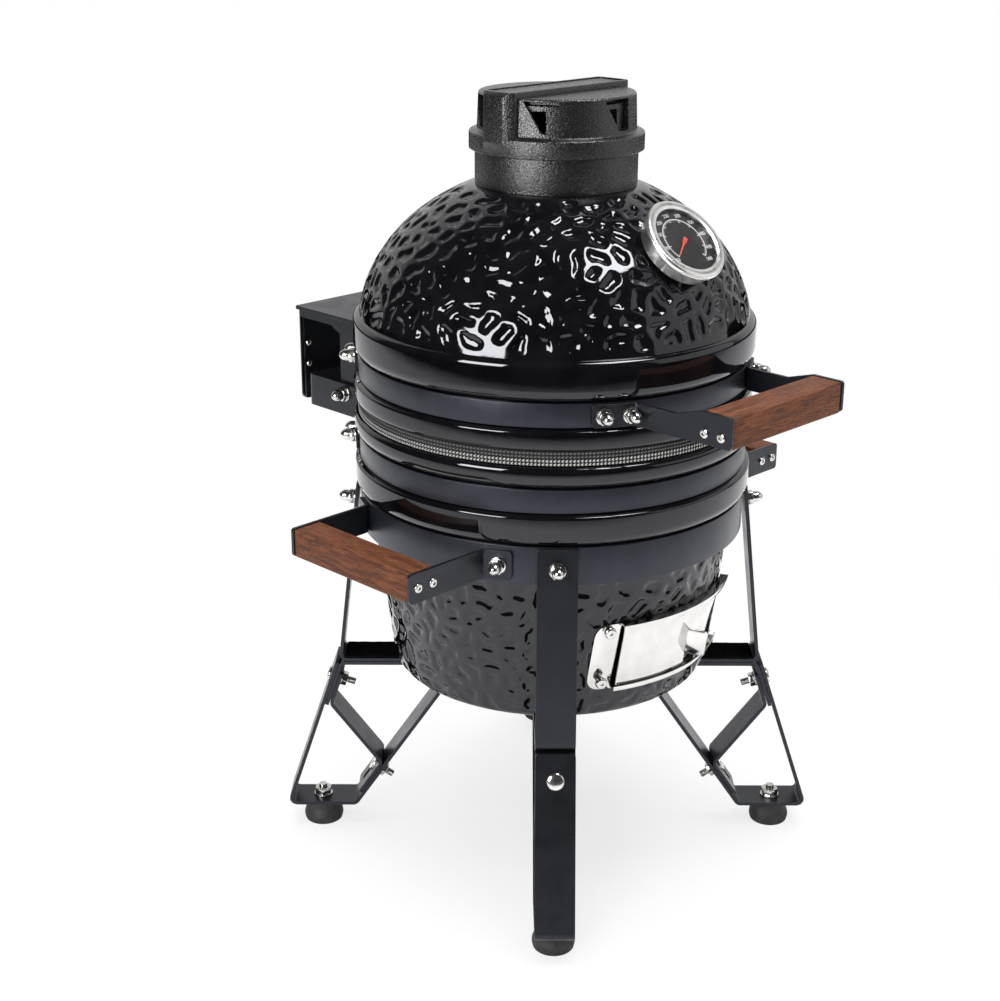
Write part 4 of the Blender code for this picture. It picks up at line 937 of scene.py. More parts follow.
def make_base_shell():
    inner_low = BODY_LOW_RADIUS - WALL
    mid_lip_low = LOWER_BAND_TOP + GAP
    corners = [
        (0, BASE_BOTTOM, 0),
        (BODY_LOW_RADIUS, BASE_BOTTOM, BODY_FOOT_ROUND),
        (BODY_WAIST_RADIUS, BASE_BOTTOM + BODY_WAIST_RISE, BODY_FOOT_ROUND),
        (BODY_TOP_RADIUS, LOWER_BAND_LOW - GAP - LIP_DROP, LIP_DROP),
        (GROOVE_RADIUS, LOWER_BAND_LOW - GAP, 0),
        *lip(mid_lip_low, UPPER_BAND_LOW - GAP),
        (GROOVE_RADIUS, UPPER_BAND_TOP + GAP, 0),
        (LIP_RADIUS, UPPER_BAND_TOP + GAP + LIP_RISE, LIP_ROUND),
        (LIP_RADIUS, RIM, LIP_ROUND),
        (LIP_RADIUS - RIM_WIDTH, RIM, LIP_ROUND),
        (GROOVE_RADIUS - WALL, mid_lip_low, BODY_FOOT_ROUND),
        (inner_low, FLOOR_TOP, BODY_FOOT_ROUND / 2),
        (0, FLOOR_TOP, 0),
    ]
    low, high = BASE_BOTTOM + LIP_DROP, LOWER_BAND_LOW - 2 * LIP_DROP
    inside = BODY_LOW_RADIUS - WALL / 2
    mesh = dimpled("base_shell", filleted(corners, 6), low, high, inside, BODY_SEED, BODY_BEAN_DEPTH)
    half = AIR_HOLE_WIDTH / 2
    plan = block(-half, -LIP_RADIUS, half, -LIP_RADIUS / 2)
    mesh = carve(mesh, [prism("air_hole", plan, AIR_HOLE_LOW, AIR_HOLE_LOW + AIR_HOLE_HEIGHT)])
    add_finished("base_shell", mesh, GLAZE, "base")


def make_lid_dome():
    low = math.asin(DOME_CENTRE_DROP / DOME_RISE)
    high = math.asin((SHOULDER - DOME_CENTRE) / DOME_RISE)
    inner_high = math.acos(CHIMNEY_RADIUS / DOME_INNER_RADIUS)
    outside = []
    inside = []
    for step in range(DOME_STEPS + 1):
        angle = low + (high - low) * step / DOME_STEPS
        outside.append((DOME_RADIUS * math.cos(angle), DOME_CENTRE + DOME_RISE * math.sin(angle), 0))
        angle = inner_high * (1 - step / DOME_STEPS)
        height = DOME_CENTRE + DOME_INNER_RISE * math.sin(angle)
        inside.append((DOME_INNER_RADIUS * math.cos(angle), height, 0))
    corners = [
        (LIP_RADIUS - RIM_WIDTH, LID_RIM, LIP_ROUND),
        (LIP_RADIUS, LID_RIM, LIP_ROUND),
        (LIP_RADIUS, LID_BAND_LOW - GAP - LIP_DROP, LIP_DROP),
        (GROOVE_RADIUS, LID_BAND_LOW - GAP, 0),
        (GROOVE_RADIUS, LID_BAND_TOP + GAP, 0),
        (LIP_RADIUS, LID_BAND_TOP + GAP + LIP_RISE, LIP_ROUND),
        (LIP_RADIUS, DOME_LIP_TOP - LIP_DROP / 2, LIP_ROUND),
        *outside,
        (CHIMNEY_RADIUS, SHOULDER, 0),
        *inside,
    ]
    low, high = DOME_LIP_TOP + LIP_DROP, SHOULDER - GAP
    mesh = dimpled("lid_dome", filleted(corners, 6), low, high, COLLAR_RADIUS, DOME_SEED, DOME_BEAN_DEPTH)
    add_finished("lid_dome", mesh, GLAZE, "lid")


def make_band(node, body):
    low, high = span(node, 2)
    outline = block(GROOVE_RADIUS + GAP, low, BAND_RADIUS, high, EDGE, 3)
    add_finished(node, turned(node, outline), BAND_COAT, body)


def make_gasket(node, body, finish):
    """A flat braid whose outer edge shows as two cords."""
    low, high = span(node, 2)
    outer = span(node, 0)[1]
    inner = outer - GASKET_WIDTH
    corners = [(inner, low, EDGE)]
    rib = (high - low) / GASKET_RIBS
    for index in range(GASKET_RIBS):
        for step in range(GASKET_RIB_STEPS + 1):
            angle = math.radians(180 * step / GASKET_RIB_STEPS - 90)
            height = low + rib * (index + 0.5 + 0.5 * math.sin(angle))
            corners.append((outer - GASKET_RIB_DEPTH * (1 - math.cos(angle)), height, 0))
    corners.append((inner, high, EDGE))
    add_finished(node, turned(node, filleted(corners, 3), GASKET_STEPS), finish, body)


# Nuts and screws, legs, handles and hinge


def hexagon(low, high, place):
    return rounded_edges(prism("hexagon", circle(HEX_RADIUS, 6), low, high, place), EDGE)


def washer(place):
    return turned("washer", disc(WASHER_RADIUS, 0, WASHER, EDGE, EDGE), NUT_STEPS, place)


def dome_head(radius, low, neck, high, place):
    """A round neck with a dome on it."""
    outline = [Vector((0, low)), Vector((radius, low))]
    for step in range(HEAD_STEPS + 1):
        angle = math.radians(90 * step / HEAD_STEPS)
        outline.append(Vector((radius * math.cos(angle), neck + (high - neck) * math.sin(angle))))
    return turned("dome", outline, NUT_STEPS, place)


def cap_nut(place):
    """Washer, hexagon and dome of a cap nut that stands along the placement's Z axis."""
    top = WASHER + HEX_HEIGHT
    dome = dome_head(CAP_NUT_RADIUS, top - EDGE, top + CAP_NUT_NECK, CAP_NUT_HEIGHT, place)
    return [washer(place), hexagon(WASHER, top, place), dome]


def pan_screw(place, radius=SCREW_RADIUS, height=SCREW_HEIGHT):
    """Round screw head with a socket."""
    corners = [
        (0, 0, 0),
        (radius, 0, 0),
        (radius, height, height * SCREW_CROWN),
        (SOCKET_RADIUS, height, 0),
        (SOCKET_RADIUS, height - SOCKET_DEPTH, 0),
        (0, height - SOCKET_DEPTH, 0),
    ]
    return [turned("screw", filleted(corners), NUT_STEPS, place)]


def stud_nut(place, tail=STUD_TAIL, size=1.0):
    """Washer and hexagon nut with the end of a threaded stud."""
    place = place @ Matrix.Scale(size, 4)
    top = WASHER + HEX_HEIGHT
    thread = [Vector((0, WASHER))]
    for turn in range(math.ceil((top + tail - WASHER) / THREAD_PITCH)):
        low = WASHER + turn * THREAD_PITCH
        thread += [Vector((STUD_RADIUS - EDGE, low)), Vector((STUD_RADIUS, low + THREAD_PITCH / 2))]
    end = thread[-1].y + THREAD_PITCH / 2
    thread += [Vector((STUD_RADIUS - EDGE, end)), Vector((0, end))]
    return [washer(place), hexagon(WASHER, top, place), turned("stud", thread, NUT_STEPS, place)]


def add_hardware(name, body, meshes, stands_for=()):
    add_piece(name, joined(name, meshes), HARDWARE, body, stands_for)


def band_nuts(middle_deg, offsets_deg, band):
    """Cap nuts on the plates at both sides of an azimuth, half way up a band."""
    meshes = []
    for offset in offsets_deg:
        for azimuth in (middle_deg - offset, middle_deg + offset):
            meshes += cap_nut(seat(polar(PLATE_RADIUS, azimuth, sum(band) / 2), away(azimuth)))
    return meshes


def strap_spot(top, foot, share):
    """A place along a strap in the leg's upright plane, and the direction that its outer face looks in."""
    along = (foot - top).normalized()
    return top.lerp(foot, share), Vector((-along.y, along.x))


def height_share(top, foot, height):
    """How far along a strap a height lies."""
    return (height - top.y) / (foot.y - top.y)


def leg_place(spot, out, azimuth_deg):
    """Seat on a leg, from a place and a direction in the leg's upright plane."""
    normal = away(azimuth_deg) * out.x + Vector((0, 0, out.y))
    up = Vector((0, 0, 1)) if abs(out.y) < STRAP_STEEP else away(azimuth_deg)
    return seat(polar(spot.x, azimuth_deg, spot.y), normal, up)


def make_foot(corner, azimuth):
    corners = [
        (0, 0, 0),
        (FOOT_RADIUS - FOOT_TAPER, 0, FOOT_EDGE_ROUND),
        (FOOT_RADIUS, FOOT_HEIGHT * FOOT_BULGE_SHARE, FOOT_BULGE_ROUND),
        (FOOT_NECK_RADIUS, FOOT_HEIGHT * FOOT_NECK_SHARE, FOOT_NECK_ROUND),
        (FOOT_NECK_RADIUS, FOOT_HEIGHT, EDGE),
        (0, FOOT_HEIGHT, 0),
    ]
    place = Matrix.Translation(polar(FOOT_CIRCLE_RADIUS, azimuth))
    node = f"foot_{corner}"
    add_finished(node, turned(node, filleted(corners), FOOT_STEPS, place), RUBBER, "base")


def slot_cutter(azimuth):
    """Cuts the long hole through the strut and the brace that is bolted to it."""
    spot, out = strap_spot(STRUT_TOP, STRUT_TOE, SLOT_SHARE)
    end, side = SLOT_LENGTH / 2, SLOT_WIDTH / 2
    outline = block(-side, -end, side, end, side)
    return prism("slot", outline, -3 * STRAP, 3 * STRAP, leg_place(spot, out, azimuth))


def make_pad(corner, azimuth, draw):
    """A thin near-black sheet with slightly ragged long edges on the shelf that carries the ceramic: painted
    shade for the body's shadow and dark reflection on the shelf top.
    """
    half = STRAP_WIDTH / 2 - SHADE_SHEET_INSET
    length = SHADE_SHEET_OUTER_RADIUS - SHADE_SHEET_INNER_RADIUS
    reaches = [SHADE_SHEET_INNER_RADIUS + length * step / SHADE_SHEET_STEPS for step in range(SHADE_SHEET_STEPS + 1)]
    right = [(reach, -half - draw.uniform(-SHADE_SHEET_RAGGED, SHADE_SHEET_RAGGED)) for reach in reaches]
    left = [(reach, half + draw.uniform(-SHADE_SHEET_RAGGED, SHADE_SHEET_RAGGED)) for reach in reversed(reaches)]
    place = ON_AXIS @ Matrix.Rotation(math.radians(azimuth), 4, "Z")
    pad = prism("shade_sheet", right + left, BASE_BOTTOM, BASE_BOTTOM + SHADE_SHEET_THICKNESS, place)
    add_piece(f"shade_sheet_{corner}", rounded_edges(pad, SHADE_SHEET_THICKNESS / 3), SHADE_SHEET, "base")


def make_leg(corner, azimuth):
    for strap in ("leg_upper", "leg_bracket"):
        eased(f"{strap}_{corner}", COAT, "base", STRAP_CORNER)
    for strap in ("leg_lower", "leg_brace"):
        eased(f"{strap}_{corner}", COAT, "base", STRAP_CORNER, [slot_cutter(azimuth)])
    make_foot(corner, azimuth)
    spot = Vector((FOOT_CIRCLE_RADIUS, FOOT_HEIGHT + GAP + STRAP))
    nut = stud_nut(leg_place(spot, Vector((0, 1)), azimuth), STUD_TAIL / 3, FOOT_NUT_SIZE)
    add_hardware(f"foot_nut_{corner}", "base", nut)

    share = height_share(LEG_SHOULDER, LEG_KNEE, LEG_TOP_NUT_HEIGHT)
    spot, out = strap_spot(LEG_SHOULDER, LEG_KNEE, share)
    nut = cap_nut(leg_place(spot + out * STRAP / 2, out, azimuth))
    add_hardware(f"leg_top_nut_{corner}", "base", nut)

    share = height_share(LEG_CROWN, LEG_HEEL, LEG_BOLT_HEIGHT)
    spot, out = strap_spot(LEG_CROWN, LEG_HEEL, share)
    face = leg_place(spot + out * GAP, out, azimuth)
    bolt = [dome_head(LEG_BOLT_HEAD_RADIUS, 0, LEG_BOLT_HEAD_HEIGHT / 4, LEG_BOLT_HEAD_HEIGHT, face)]
    bolt += stud_nut(leg_place(spot - out * (LEG_STACK + GAP), -out, azimuth))
    add_hardware(f"leg_bolt_{corner}_finished", "base", bolt, [f"leg_bolt_{corner}"])

    spot, out = strap_spot(STRUT_TOP, STRUT_TOE, BRACE_BOLT_SHARE)
    bolt = pan_screw(leg_place(spot + out * (1.5 * STRAP + GAP), out, azimuth), WASHER_RADIUS)
    bolt += stud_nut(leg_place(spot - out * STRAP / 2, -out, azimuth))
    add_hardware(f"brace_bolt_{corner}", "base", bolt)


def make_grip(node, arms, finish, body):
    """A wooden bar that lies flush between the edges of its two arms."""
    low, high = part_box(node)
    arm_boxes = [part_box(arm) for arm in arms]
    for axis in range(3):
        low[axis] = max(low[axis], min(box[0][axis] for box in arm_boxes) + GRIP_SETBACK)
        high[axis] = min(high[axis], max(box[1][axis] for box in arm_boxes) - GRIP_SETBACK)
    bar = prism(node, block(low.x, low.y, high.x, high.y), low.z, high.z, AS_IS)
    add_finished(node, rounded_edges(bar, GRIP_ROUND, segments=4), finish, body)


def make_handles():
    make_grip("lid_handle_grip", ["lid_handle_arm_left", "lid_handle_arm_right"], GRIP_ALONG_X, "lid")
    for hand in ("left", "right"):
        eased(f"lid_handle_arm_{hand}", COAT, "lid", STRAP_CORNER)
        arms = [f"carry_handle_{hand}_arm_{end}" for end in ("front", "rear")]
        make_grip(f"carry_handle_{hand}_grip", arms, GRIP_ALONG_Y, "base")
        for arm in arms:
            eased(arm, COAT, "base", STRAP_CORNER)
    add_hardware("lid_handle_nuts", "lid", band_nuts(-90, LID_NUT_OFFSETS_DEG, LID_BAND))
    screws = []
    for side in (-1, 1):
        for reach in LID_SCREW_REACHES:
            point = Vector((side * ARM_FACE, AXIS_Y - reach, LID_SCREW_HEIGHT))
            screws += pan_screw(seat(point, Vector((side, 0, 0))))
    add_hardware("lid_handle_screws", "lid", screws)
    for hand, side, azimuth in (("left", -1, 180), ("right", 1, 0)):
        add_hardware(f"carry_{hand}_nuts", "base", band_nuts(azimuth, [CARRY_NUT_OFFSET_DEG], LOWER_BAND))
        screws = []
        for end in (-1, 1):
            for reach in CARRY_SCREW_REACHES:
                point = Vector((side * reach, AXIS_Y + end * ARM_FACE, sum(LOWER_BAND) / 2))
                screws += pan_screw(seat(point, Vector((0, end, 0))))
        add_hardware(f"carry_{hand}_screws", "base", screws)


def make_hinge():
    eased("hinge_lid_bracket", COAT, "lid")
    eased("hinge_base_bracket", COAT, "base")
    add_hardware("hinge_lid_nuts", "lid", band_nuts(90, LID_FLANGE_OFFSETS_DEG, LID_BAND))
    add_hardware("hinge_base_nuts", "base", band_nuts(90, BASE_FLANGE_OFFSETS_DEG, UPPER_BAND))
    pivot = Vector((0, AXIS_Y + HINGE_REACH, HINGE_HEIGHT))
    for hand, side in (("left", -1), ("right", 1)):
        out = Vector((side, 0, 0))
        bolt = cap_nut(seat(pivot + out * HINGE_FACE, out))
        inside = seat(pivot + out * HINGE_HEAD_FACE, -out)
        bolt.append(dome_head(HEX_RADIUS, 0, HINGE_HEAD_HEIGHT / 2, HINGE_HEAD_HEIGHT, inside))
        add_hardware(f"hinge_bolt_{hand}_finished", "base", bolt, [f"hinge_bolt_{hand}"])
    back = span("hinge_lid_bracket", 1)[1] - STRAP
    ends = []
    for side in (-1, 1):
        for height in HOOD_BOLT_HEIGHTS:
            place = seat(Vector((side * HOOD_BOLT_SIDE, back, height)), Vector((0, -1, 0)))
            ends.append(dome_head(HOOD_BOLT_RADIUS, 0, HOOD_BOLT_NECK, HOOD_BOLT_LENGTH, place))
    add_hardware("hood_bolt_ends", "lid", ends)


# Vent


def upright_prism(name, outline, low, high, azimuth_deg):
    """An outline of (across, height) drawn out along an azimuth, from one radius to another."""
    turn = Matrix.Rotation(math.radians(azimuth_deg + 90), 4, "Z") @ Matrix.Rotation(math.radians(90), 4, "X")
    return prism(name, outline, low, high, ON_AXIS @ turn)


def vent_windows(start_deg, top):
    """Cutters for the slanted windows round the vent."""
    inner, outer = SLEEVE_RADIUS - 2 * SLEEVE_WALL, CAP_RADIUS + CAP_LIP
    middle = (inner + outer) / 2
    slant = middle * math.sin(math.radians(WINDOW_SLANT_DEG))
    width = middle * math.sin(math.radians(WINDOW_WIDTH_DEG - WINDOW_SLANT_DEG))
    places = [(-slant, top), (0, WINDOW_LOW), (width, WINDOW_LOW), (width, top)]
    outline = filleted([(*place, WINDOW_CORNER) for place in places])
    cutters = []
    for index in range(WINDOW_COUNT):
        azimuth = start_deg + WINDOW_SLANT_DEG + 360 / WINDOW_COUNT * index
        cutters.append(upright_prism("window", outline, inner, outer, azimuth))
    return cutters


def make_collar():
    bore, sleeve_bore = COLLAR_RADIUS - COLLAR_WALL, SLEEVE_RADIUS - SLEEVE_WALL
    skirt_low, skirt_bore = SHOULDER + GAP, COLLAR_RADIUS - COLLAR_SKIRT
    corners = [
        (SLEEVE_RADIUS, SLEEVE_TOP, EDGE),
        (SLEEVE_RADIUS, COLLAR_TOP, 0),
        (COLLAR_RADIUS, COLLAR_TOP, COLLAR_TOP_ROUND),
        (COLLAR_RADIUS, skirt_low, COLLAR_LOW_ROUND),
        (skirt_bore, skirt_low, EDGE),
        (skirt_bore, COLLAR_LOW, 0),
        (bore, COLLAR_LOW, EDGE),
        (bore, COLLAR_TOP - 2 * SLEEVE_WALL, SLEEVE_ROUND),
        (sleeve_bore, COLLAR_TOP - SLEEVE_WALL / 2, SLEEVE_ROUND),
        (sleeve_bore, SLEEVE_TOP, EDGE),
    ]
    collar = turned("vent_collar", filleted(corners))
    collar = carve(collar, vent_windows(WINDOW_START_DEG - SLEEVE_OFFSET_DEG, WINDOW_TOP - SLEEVE_WALL))
    add_finished("vent_collar", collar, IRON, "lid")


def make_vent_bar():
    """The raised bar over the cap, with a shallow pocket in its top."""
    root = CAP_BORE + BAR_ROOT
    half = [
        (root, CAP_TOP - BAR_ROOT),
        (root, CAP_LOW + GAP),
        (BAR_REACH - BAR_CHAMFER, CAP_LOW + GAP),
        (BAR_REACH, BAR_FLARE_TOP),
        (BAR_REACH, BAR_TOP - BAR_CHAMFER / 2),
        (BAR_REACH - BAR_CHAMFER / 2, BAR_TOP),
    ]
    outline = half + [(-x, z) for x, z in half[::-1]]
    bar = upright_prism("vent_bar", outline, -BAR_HALF_WIDTH, BAR_HALF_WIDTH, -90)
    corner, wide = BAR_REACH - BAR_CHAMFER, BAR_REACH + BAR_CHAMFER
    slim = BAR_HALF_WIDTH - 2 * BAR_CHAMFER
    plan = [(wide, slim), (corner, BAR_HALF_WIDTH - GAP), (-corner, BAR_HALF_WIDTH - GAP), (-wide, slim)]
    plan = plan + [(x, -y) for x, y in plan[::-1]]
    bar = carve(bar, [prism("plan", plan, CAP_LOW / 2, 2 * BAR_TOP)], "INTERSECT")
    bar = rounded_edges(bar, BAR_ROUND)
    side = BAR_HALF_WIDTH - BAR_POCKET_RIM
    pocket = block(corner, side, -corner, -side, BAR_POCKET_CORNER)
    return carve(bar, [prism("pocket", pocket, BAR_TOP - BAR_POCKET_DEPTH, 2 * BAR_TOP)])


def make_vent_cap():
    rim = CAP_RADIUS + CAP_LIP
    corners = [
        (0, CAP_TOP, 0),
        (CAP_RADIUS - CAP_TAPER, CAP_TOP, CAP_ROUND),
        (CAP_RADIUS, CAP_LIP_TOP, CAP_LIP_ROUND),
        (rim, CAP_LIP_TOP - CAP_ROUND / 2, CAP_LIP_ROUND),
        (rim, CAP_LOW, CAP_LOW_ROUND),
        (CAP_BORE, CAP_LOW, 0),
        (CAP_BORE, CAP_ROOF_LOW, 0),
        (0, CAP_ROOF_LOW, 0),
    ]
    cap = carve(turned("vent_cap", filleted(corners)), [make_vent_bar()], "UNION")
    cap = carve(cap, vent_windows(WINDOW_START_DEG, WINDOW_LINTEL))
    add_finished("vent_cap", cap, IRON, "vent_cap")


def make_vent():
    low, high = span("vent_gasket", 2)
    inner, outer = CHIMNEY_RADIUS + GAP, COLLAR_RADIUS - COLLAR_SKIRT - GAP
    corners = [(inner, low, 0), (outer, low, EDGE), (outer, high, EDGE), (inner, high, 0)]
    gasket = turned("vent_gasket", filleted(corners, 2))
    add_finished("vent_gasket", gasket, DARK_GASKET, "lid")
    make_collar()
    make_vent_cap()


# Dial thermometer


def dial_seat():
    """Placement on the dome's face: Z away from the ceramic, Y up the dome."""
    across, up = math.cos(DIAL_ANGLE), math.sin(DIAL_ANGLE)
    normal = Vector((0, -across / DOME_RADIUS, up / DOME_RISE)).normalized()
    place = Vector((0, AXIS_Y - DOME_RADIUS * across, DOME_CENTRE + DOME_RISE * up))
    return seat(place + normal * GAP, normal)


def dial_angle(share):
    """Angle on the dial, from the scale's start to its end."""
    return math.radians(NEEDLE_REST_DEG - NEEDLE_SWEEP_DEG * share)


def dial_spot(radius, angle, height=0.0):
    """A place on the dial."""
    return Vector((radius * math.cos(angle), radius * math.sin(angle), height))


def dial_arc(inner, outer, low, high, place):
    """Part ring along the scale."""
    angles = [dial_angle(step / DIAL_STEPS) for step in range(DIAL_STEPS + 1)]
    rim = [dial_spot(outer, angle).xy for angle in angles]
    back = [dial_spot(inner, angle).xy for angle in reversed(angles)]
    return prism("arc", rim + back, low, high, place)


def dial_number(number, angle, low, place):
    """A plain number on the dial, upright and centred on its place."""
    curve = bpy.data.curves.new("number", "FONT")
    curve.body = str(number)
    curve.size = NUMBER_SIZE
    curve.align_x, curve.align_y = "CENTER", "CENTER"
    curve.extrude = PRINT_HEIGHT / 2
    work = add_object("number", curve)
    bpy.context.view_layer.update()
    mesh = bpy.data.meshes.new_from_object(work.evaluated_get(bpy.context.evaluated_depsgraph_get()))
    bpy.data.objects.remove(work)
    bpy.data.curves.remove(curve)
    mesh.transform(place @ Matrix.Translation(dial_spot(NUMBER_RADIUS, angle, low + PRINT_HEIGHT / 2)))
    return mesh


def make_dial(place):
    low = CASE_FLOOR + GAP
    top = low + DIAL_THICKNESS
    outline = disc(WELL_RADIUS - GAP, low, top, 0, DIAL_EDGE)
    dial = turned("thermometer_dial", outline, DIAL_STEPS, place)
    add_finished("thermometer_dial", dial, DIAL, "lid")
    marks = [dial_arc(SCALE_RADIUS, SCALE_RADIUS + SCALE_LINE, top, top + PRINT_HEIGHT, place)]
    for index in range(TICK_COUNT):
        angle = dial_angle(index / (TICK_COUNT - 1))
        numbered = index % TICKS_PER_NUMBER == 0
        inner = SCALE_RADIUS - (LONG_TICK if numbered else SHORT_TICK)
        half = TICK_HALF * (2 if numbered else 1)
        outline = block(inner, -half, SCALE_RADIUS, half)
        turn = place @ Matrix.Rotation(angle, 4, "Z")
        marks.append(prism("tick", outline, top, top + PRINT_HEIGHT, turn))
        if numbered:
            number = FIRST_NUMBER + NUMBER_STEP * (index // TICKS_PER_NUMBER)
            marks.append(dial_number(number, angle, top, place))
    add_piece("dial_marks", joined("dial_marks", marks), PRINT, "lid")


def make_needle(place):
    low = CASE_FLOOR + GAP + DIAL_THICKNESS + GAP
    high = low + NEEDLE_THICKNESS
    turn = place @ Matrix.Rotation(math.radians(NEEDLE_REST_DEG), 4, "Z")
    half = [
        (NEEDLE_LENGTH, NEEDLE_TIP_HALF),
        (BOSS_FRONT, NEEDLE_HALF),
        (BOSS_FRONT, BOSS_HALF),
        (-NEEDLE_TAIL, BOSS_HALF),
    ]
    outline = half + [(x, -y) for x, y in reversed(half)]
    needle = rounded_edges(prism("thermometer_needle", outline, low, high, turn), NEEDLE_TIP_HALF / 2)
    add_finished("thermometer_needle", needle, RED, "thermometer_needle")


def make_thermometer():
    place = dial_seat()
    corners = [
        (0, CASE_FLOOR, 0),
        (WELL_RADIUS, CASE_FLOOR, 0),
        (WELL_RADIUS, CASE_DEPTH - CASE_EDGE, 0),
        (WELL_RADIUS + BEZEL_SLOPE, CASE_DEPTH, CASE_EDGE),
        (CASE_RADIUS, CASE_DEPTH, BEZEL_ROUND),
        (CASE_RADIUS, CASE_FLOOR, CASE_EDGE),
        (CASE_BACK_RADIUS, CASE_FLOOR - CASE_EDGE, EDGE),
        (CASE_BACK_RADIUS, 0, EDGE),
        (STEM_RADIUS, 0, 0),
        (STEM_RADIUS, -STEM_LENGTH + STEM_RADIUS, CASE_EDGE),
        (0, -STEM_LENGTH, 0),
    ]
    case = turned("thermometer_case", filleted(corners), DIAL_STEPS, place)
    add_finished("thermometer_case", case, SATIN, "lid")
    make_dial(place)
    make_needle(place)
    top = CASE_DEPTH - LENS_SETBACK
    outline = disc(WELL_RADIUS - GAP, top - LENS_THICKNESS, top, 0, EDGE, 3)
    lens = turned("thermometer_lens", outline, DIAL_STEPS, place)
    add_finished("thermometer_lens", lens, LENS, "lid")
    eased("thermometer_nut", HARDWARE, "lid")


# Draft frame and door


def body_radius(height):
    """Outer radius of the base's lower cone."""
    slope = (BODY_WAIST_RADIUS - BODY_LOW_RADIUS) / (BODY_WAIST_RISE - BODY_LOW_RISE)
    return BODY_LOW_RADIUS + slope * (height - BASE_BOTTOM - BODY_LOW_RISE)


def flat_x(azimuth_deg):
    """Place along the flat layout for an azimuth."""
    return math.radians(azimuth_deg + 90) * BEND_RADIUS


def wrapped_azimuth(along, height):
    """Azimuth of a place along the flat layout, wrapped round the cone at some height."""
    return math.degrees(along / body_radius(height)) - 90


def bent(mesh):
    """Wraps a flat layout round the body: X runs along the arc, Y is height, Z is the distance outward."""
    shaped = bmesh.new()
    shaped.from_mesh(mesh)
    places = [vert.co.x for vert in shaped.verts]
    for step in range(math.ceil(min(places) / BEND_STEP), math.floor(max(places) / BEND_STEP) + 1):
        everything = shaped.verts[:] + shaped.edges[:] + shaped.faces[:]
        cut = Vector((step * BEND_STEP, 0, 0))
        bmesh.ops.bisect_plane(shaped, geom=everything, plane_co=cut, plane_no=(1, 0, 0), dist=WELD)
    for vert in shaped.verts:
        along, height, out = vert.co
        vert.co = polar(body_radius(height) + GAP + out, wrapped_azimuth(along, height), height)
    shaped.to_mesh(mesh)
    shaped.free()
    return mesh


def rounded_plate(name, ends, low, high, inner, corner):
    """Flat plate between two places along the arc, one sheet thick."""
    outline = block(ends[0], low, ends[1], high, corner, 6)
    return prism(name, outline, inner, inner + SHEET, AS_IS)


def rail(outline):
    """A section of (height, distance out) drawn along the arc."""
    along = Matrix(((0, 0, 1, 0), (1, 0, 0, 0), (0, 1, 0, 0), (0, 0, 0, 1)))
    return prism("rail", outline, flat_x(RAIL_ENDS_DEG[0]), flat_x(RAIL_ENDS_DEG[1]), along)


def make_draft_frame():
    ends = (flat_x(-90 - FRAME_HALF_SWEEP_DEG), flat_x(-90 + FRAME_HALF_SWEEP_DEG))
    plate = rounded_plate("draft_frame", ends, FRAME_LOW, FRAME_TOP, 0, FRAME_CORNER)
    half = AIR_HOLE_WIDTH / 2 + FRAME_MARGIN
    sill, lintel = AIR_HOLE_LOW - FRAME_MARGIN, AIR_HOLE_LOW + AIR_HOLE_HEIGHT + FRAME_MARGIN
    outline = block(-half, sill, half, lintel, FRAME_WINDOW_CORNER)
    window = prism("window", outline, -SHEET, 2 * SHEET, AS_IS)
    plate = rounded_edges(carve(plate, [window]), EDGE / 2)
    outer = FRAME_DEPTH + SHEET
    lower = [
        (FRAME_LOW, SHEET / 2),
        (FRAME_LOW, outer),
        (FRAME_LOW + FRAME_HOOK, outer),
        (FRAME_LOW + FRAME_HOOK, FRAME_DEPTH),
        (FRAME_LOW + SHEET, FRAME_DEPTH),
        (FRAME_LOW + SHEET, SHEET / 2),
    ]
    upper = [(FRAME_LOW + FRAME_TOP - height, out) for height, out in lower]
    rails = [rounded_edges(rail(outline), EDGE / 2) for outline in (lower, upper)]
    tray = joined("draft_frame", [bent(mesh) for mesh in [plate, *rails]])
    add_finished("draft_frame", tray, POLISHED, "base")


def make_draft_door():
    ends = (flat_x(DOOR_ENDS_DEG[0]), flat_x(DOOR_ENDS_DEG[1]))
    low, high = FRAME_LOW + DOOR_MARGIN, FRAME_TOP - DOOR_MARGIN
    plate = rounded_plate("draft_door", ends, low, high, DOOR_INNER, DOOR_CORNER)
    start, end = flat_x(TAB_AZIMUTH_DEG), flat_x(TAB_AZIMUTH_DEG + NOTCH_SWEEP_DEG)
    outline = block(start, FRAME_LOW + FRAME_HOOK, end, TAB_LOW - SHEET, NOTCH_CORNER)
    notch = prism("notch", outline, 0, FRAME_DEPTH, AS_IS)
    plate = rounded_edges(carve(plate, [notch]), EDGE / 2)

    # The tab is a plate that leans out from its root on the door
    root = Vector((start, 0, DOOR_INNER + SHEET / 2))
    tip = Vector((flat_x(TAB_AZIMUTH_DEG + TAB_LEAN_DEG), 0, root.z + TAB_REACH))
    lean = (tip - root).normalized()
    face = Vector((lean.z, 0, -lean.x))
    layout = Matrix((lean, Vector((0, 1, 0)), face)).transposed().to_4x4()
    layout.translation = root
    length = (tip - root).length
    corners = [(0, TAB_LOW, 0), (length, TAB_LOW, TAB_CORNER), (length, TAB_TOP, TAB_CORNER), (0, TAB_TOP, 0)]
    tab = prism("tab", filleted(corners, 6), -SHEET / 2, SHEET / 2, AS_IS)
    tab = rounded_edges(tab, EDGE / 2)
    tab.transform(layout)
    door = joined("draft_door", [bent(plate), bent(tab)])
    add_finished("draft_door", door, POLISHED, "draft_door")


def frame_place(azimuth_deg, height):
    """Seat on the frame's plate, facing away from the body."""
    azimuth = wrapped_azimuth(flat_x(azimuth_deg), height)
    return seat(polar(body_radius(height) + GAP + SHEET, azimuth, height), away(azimuth))


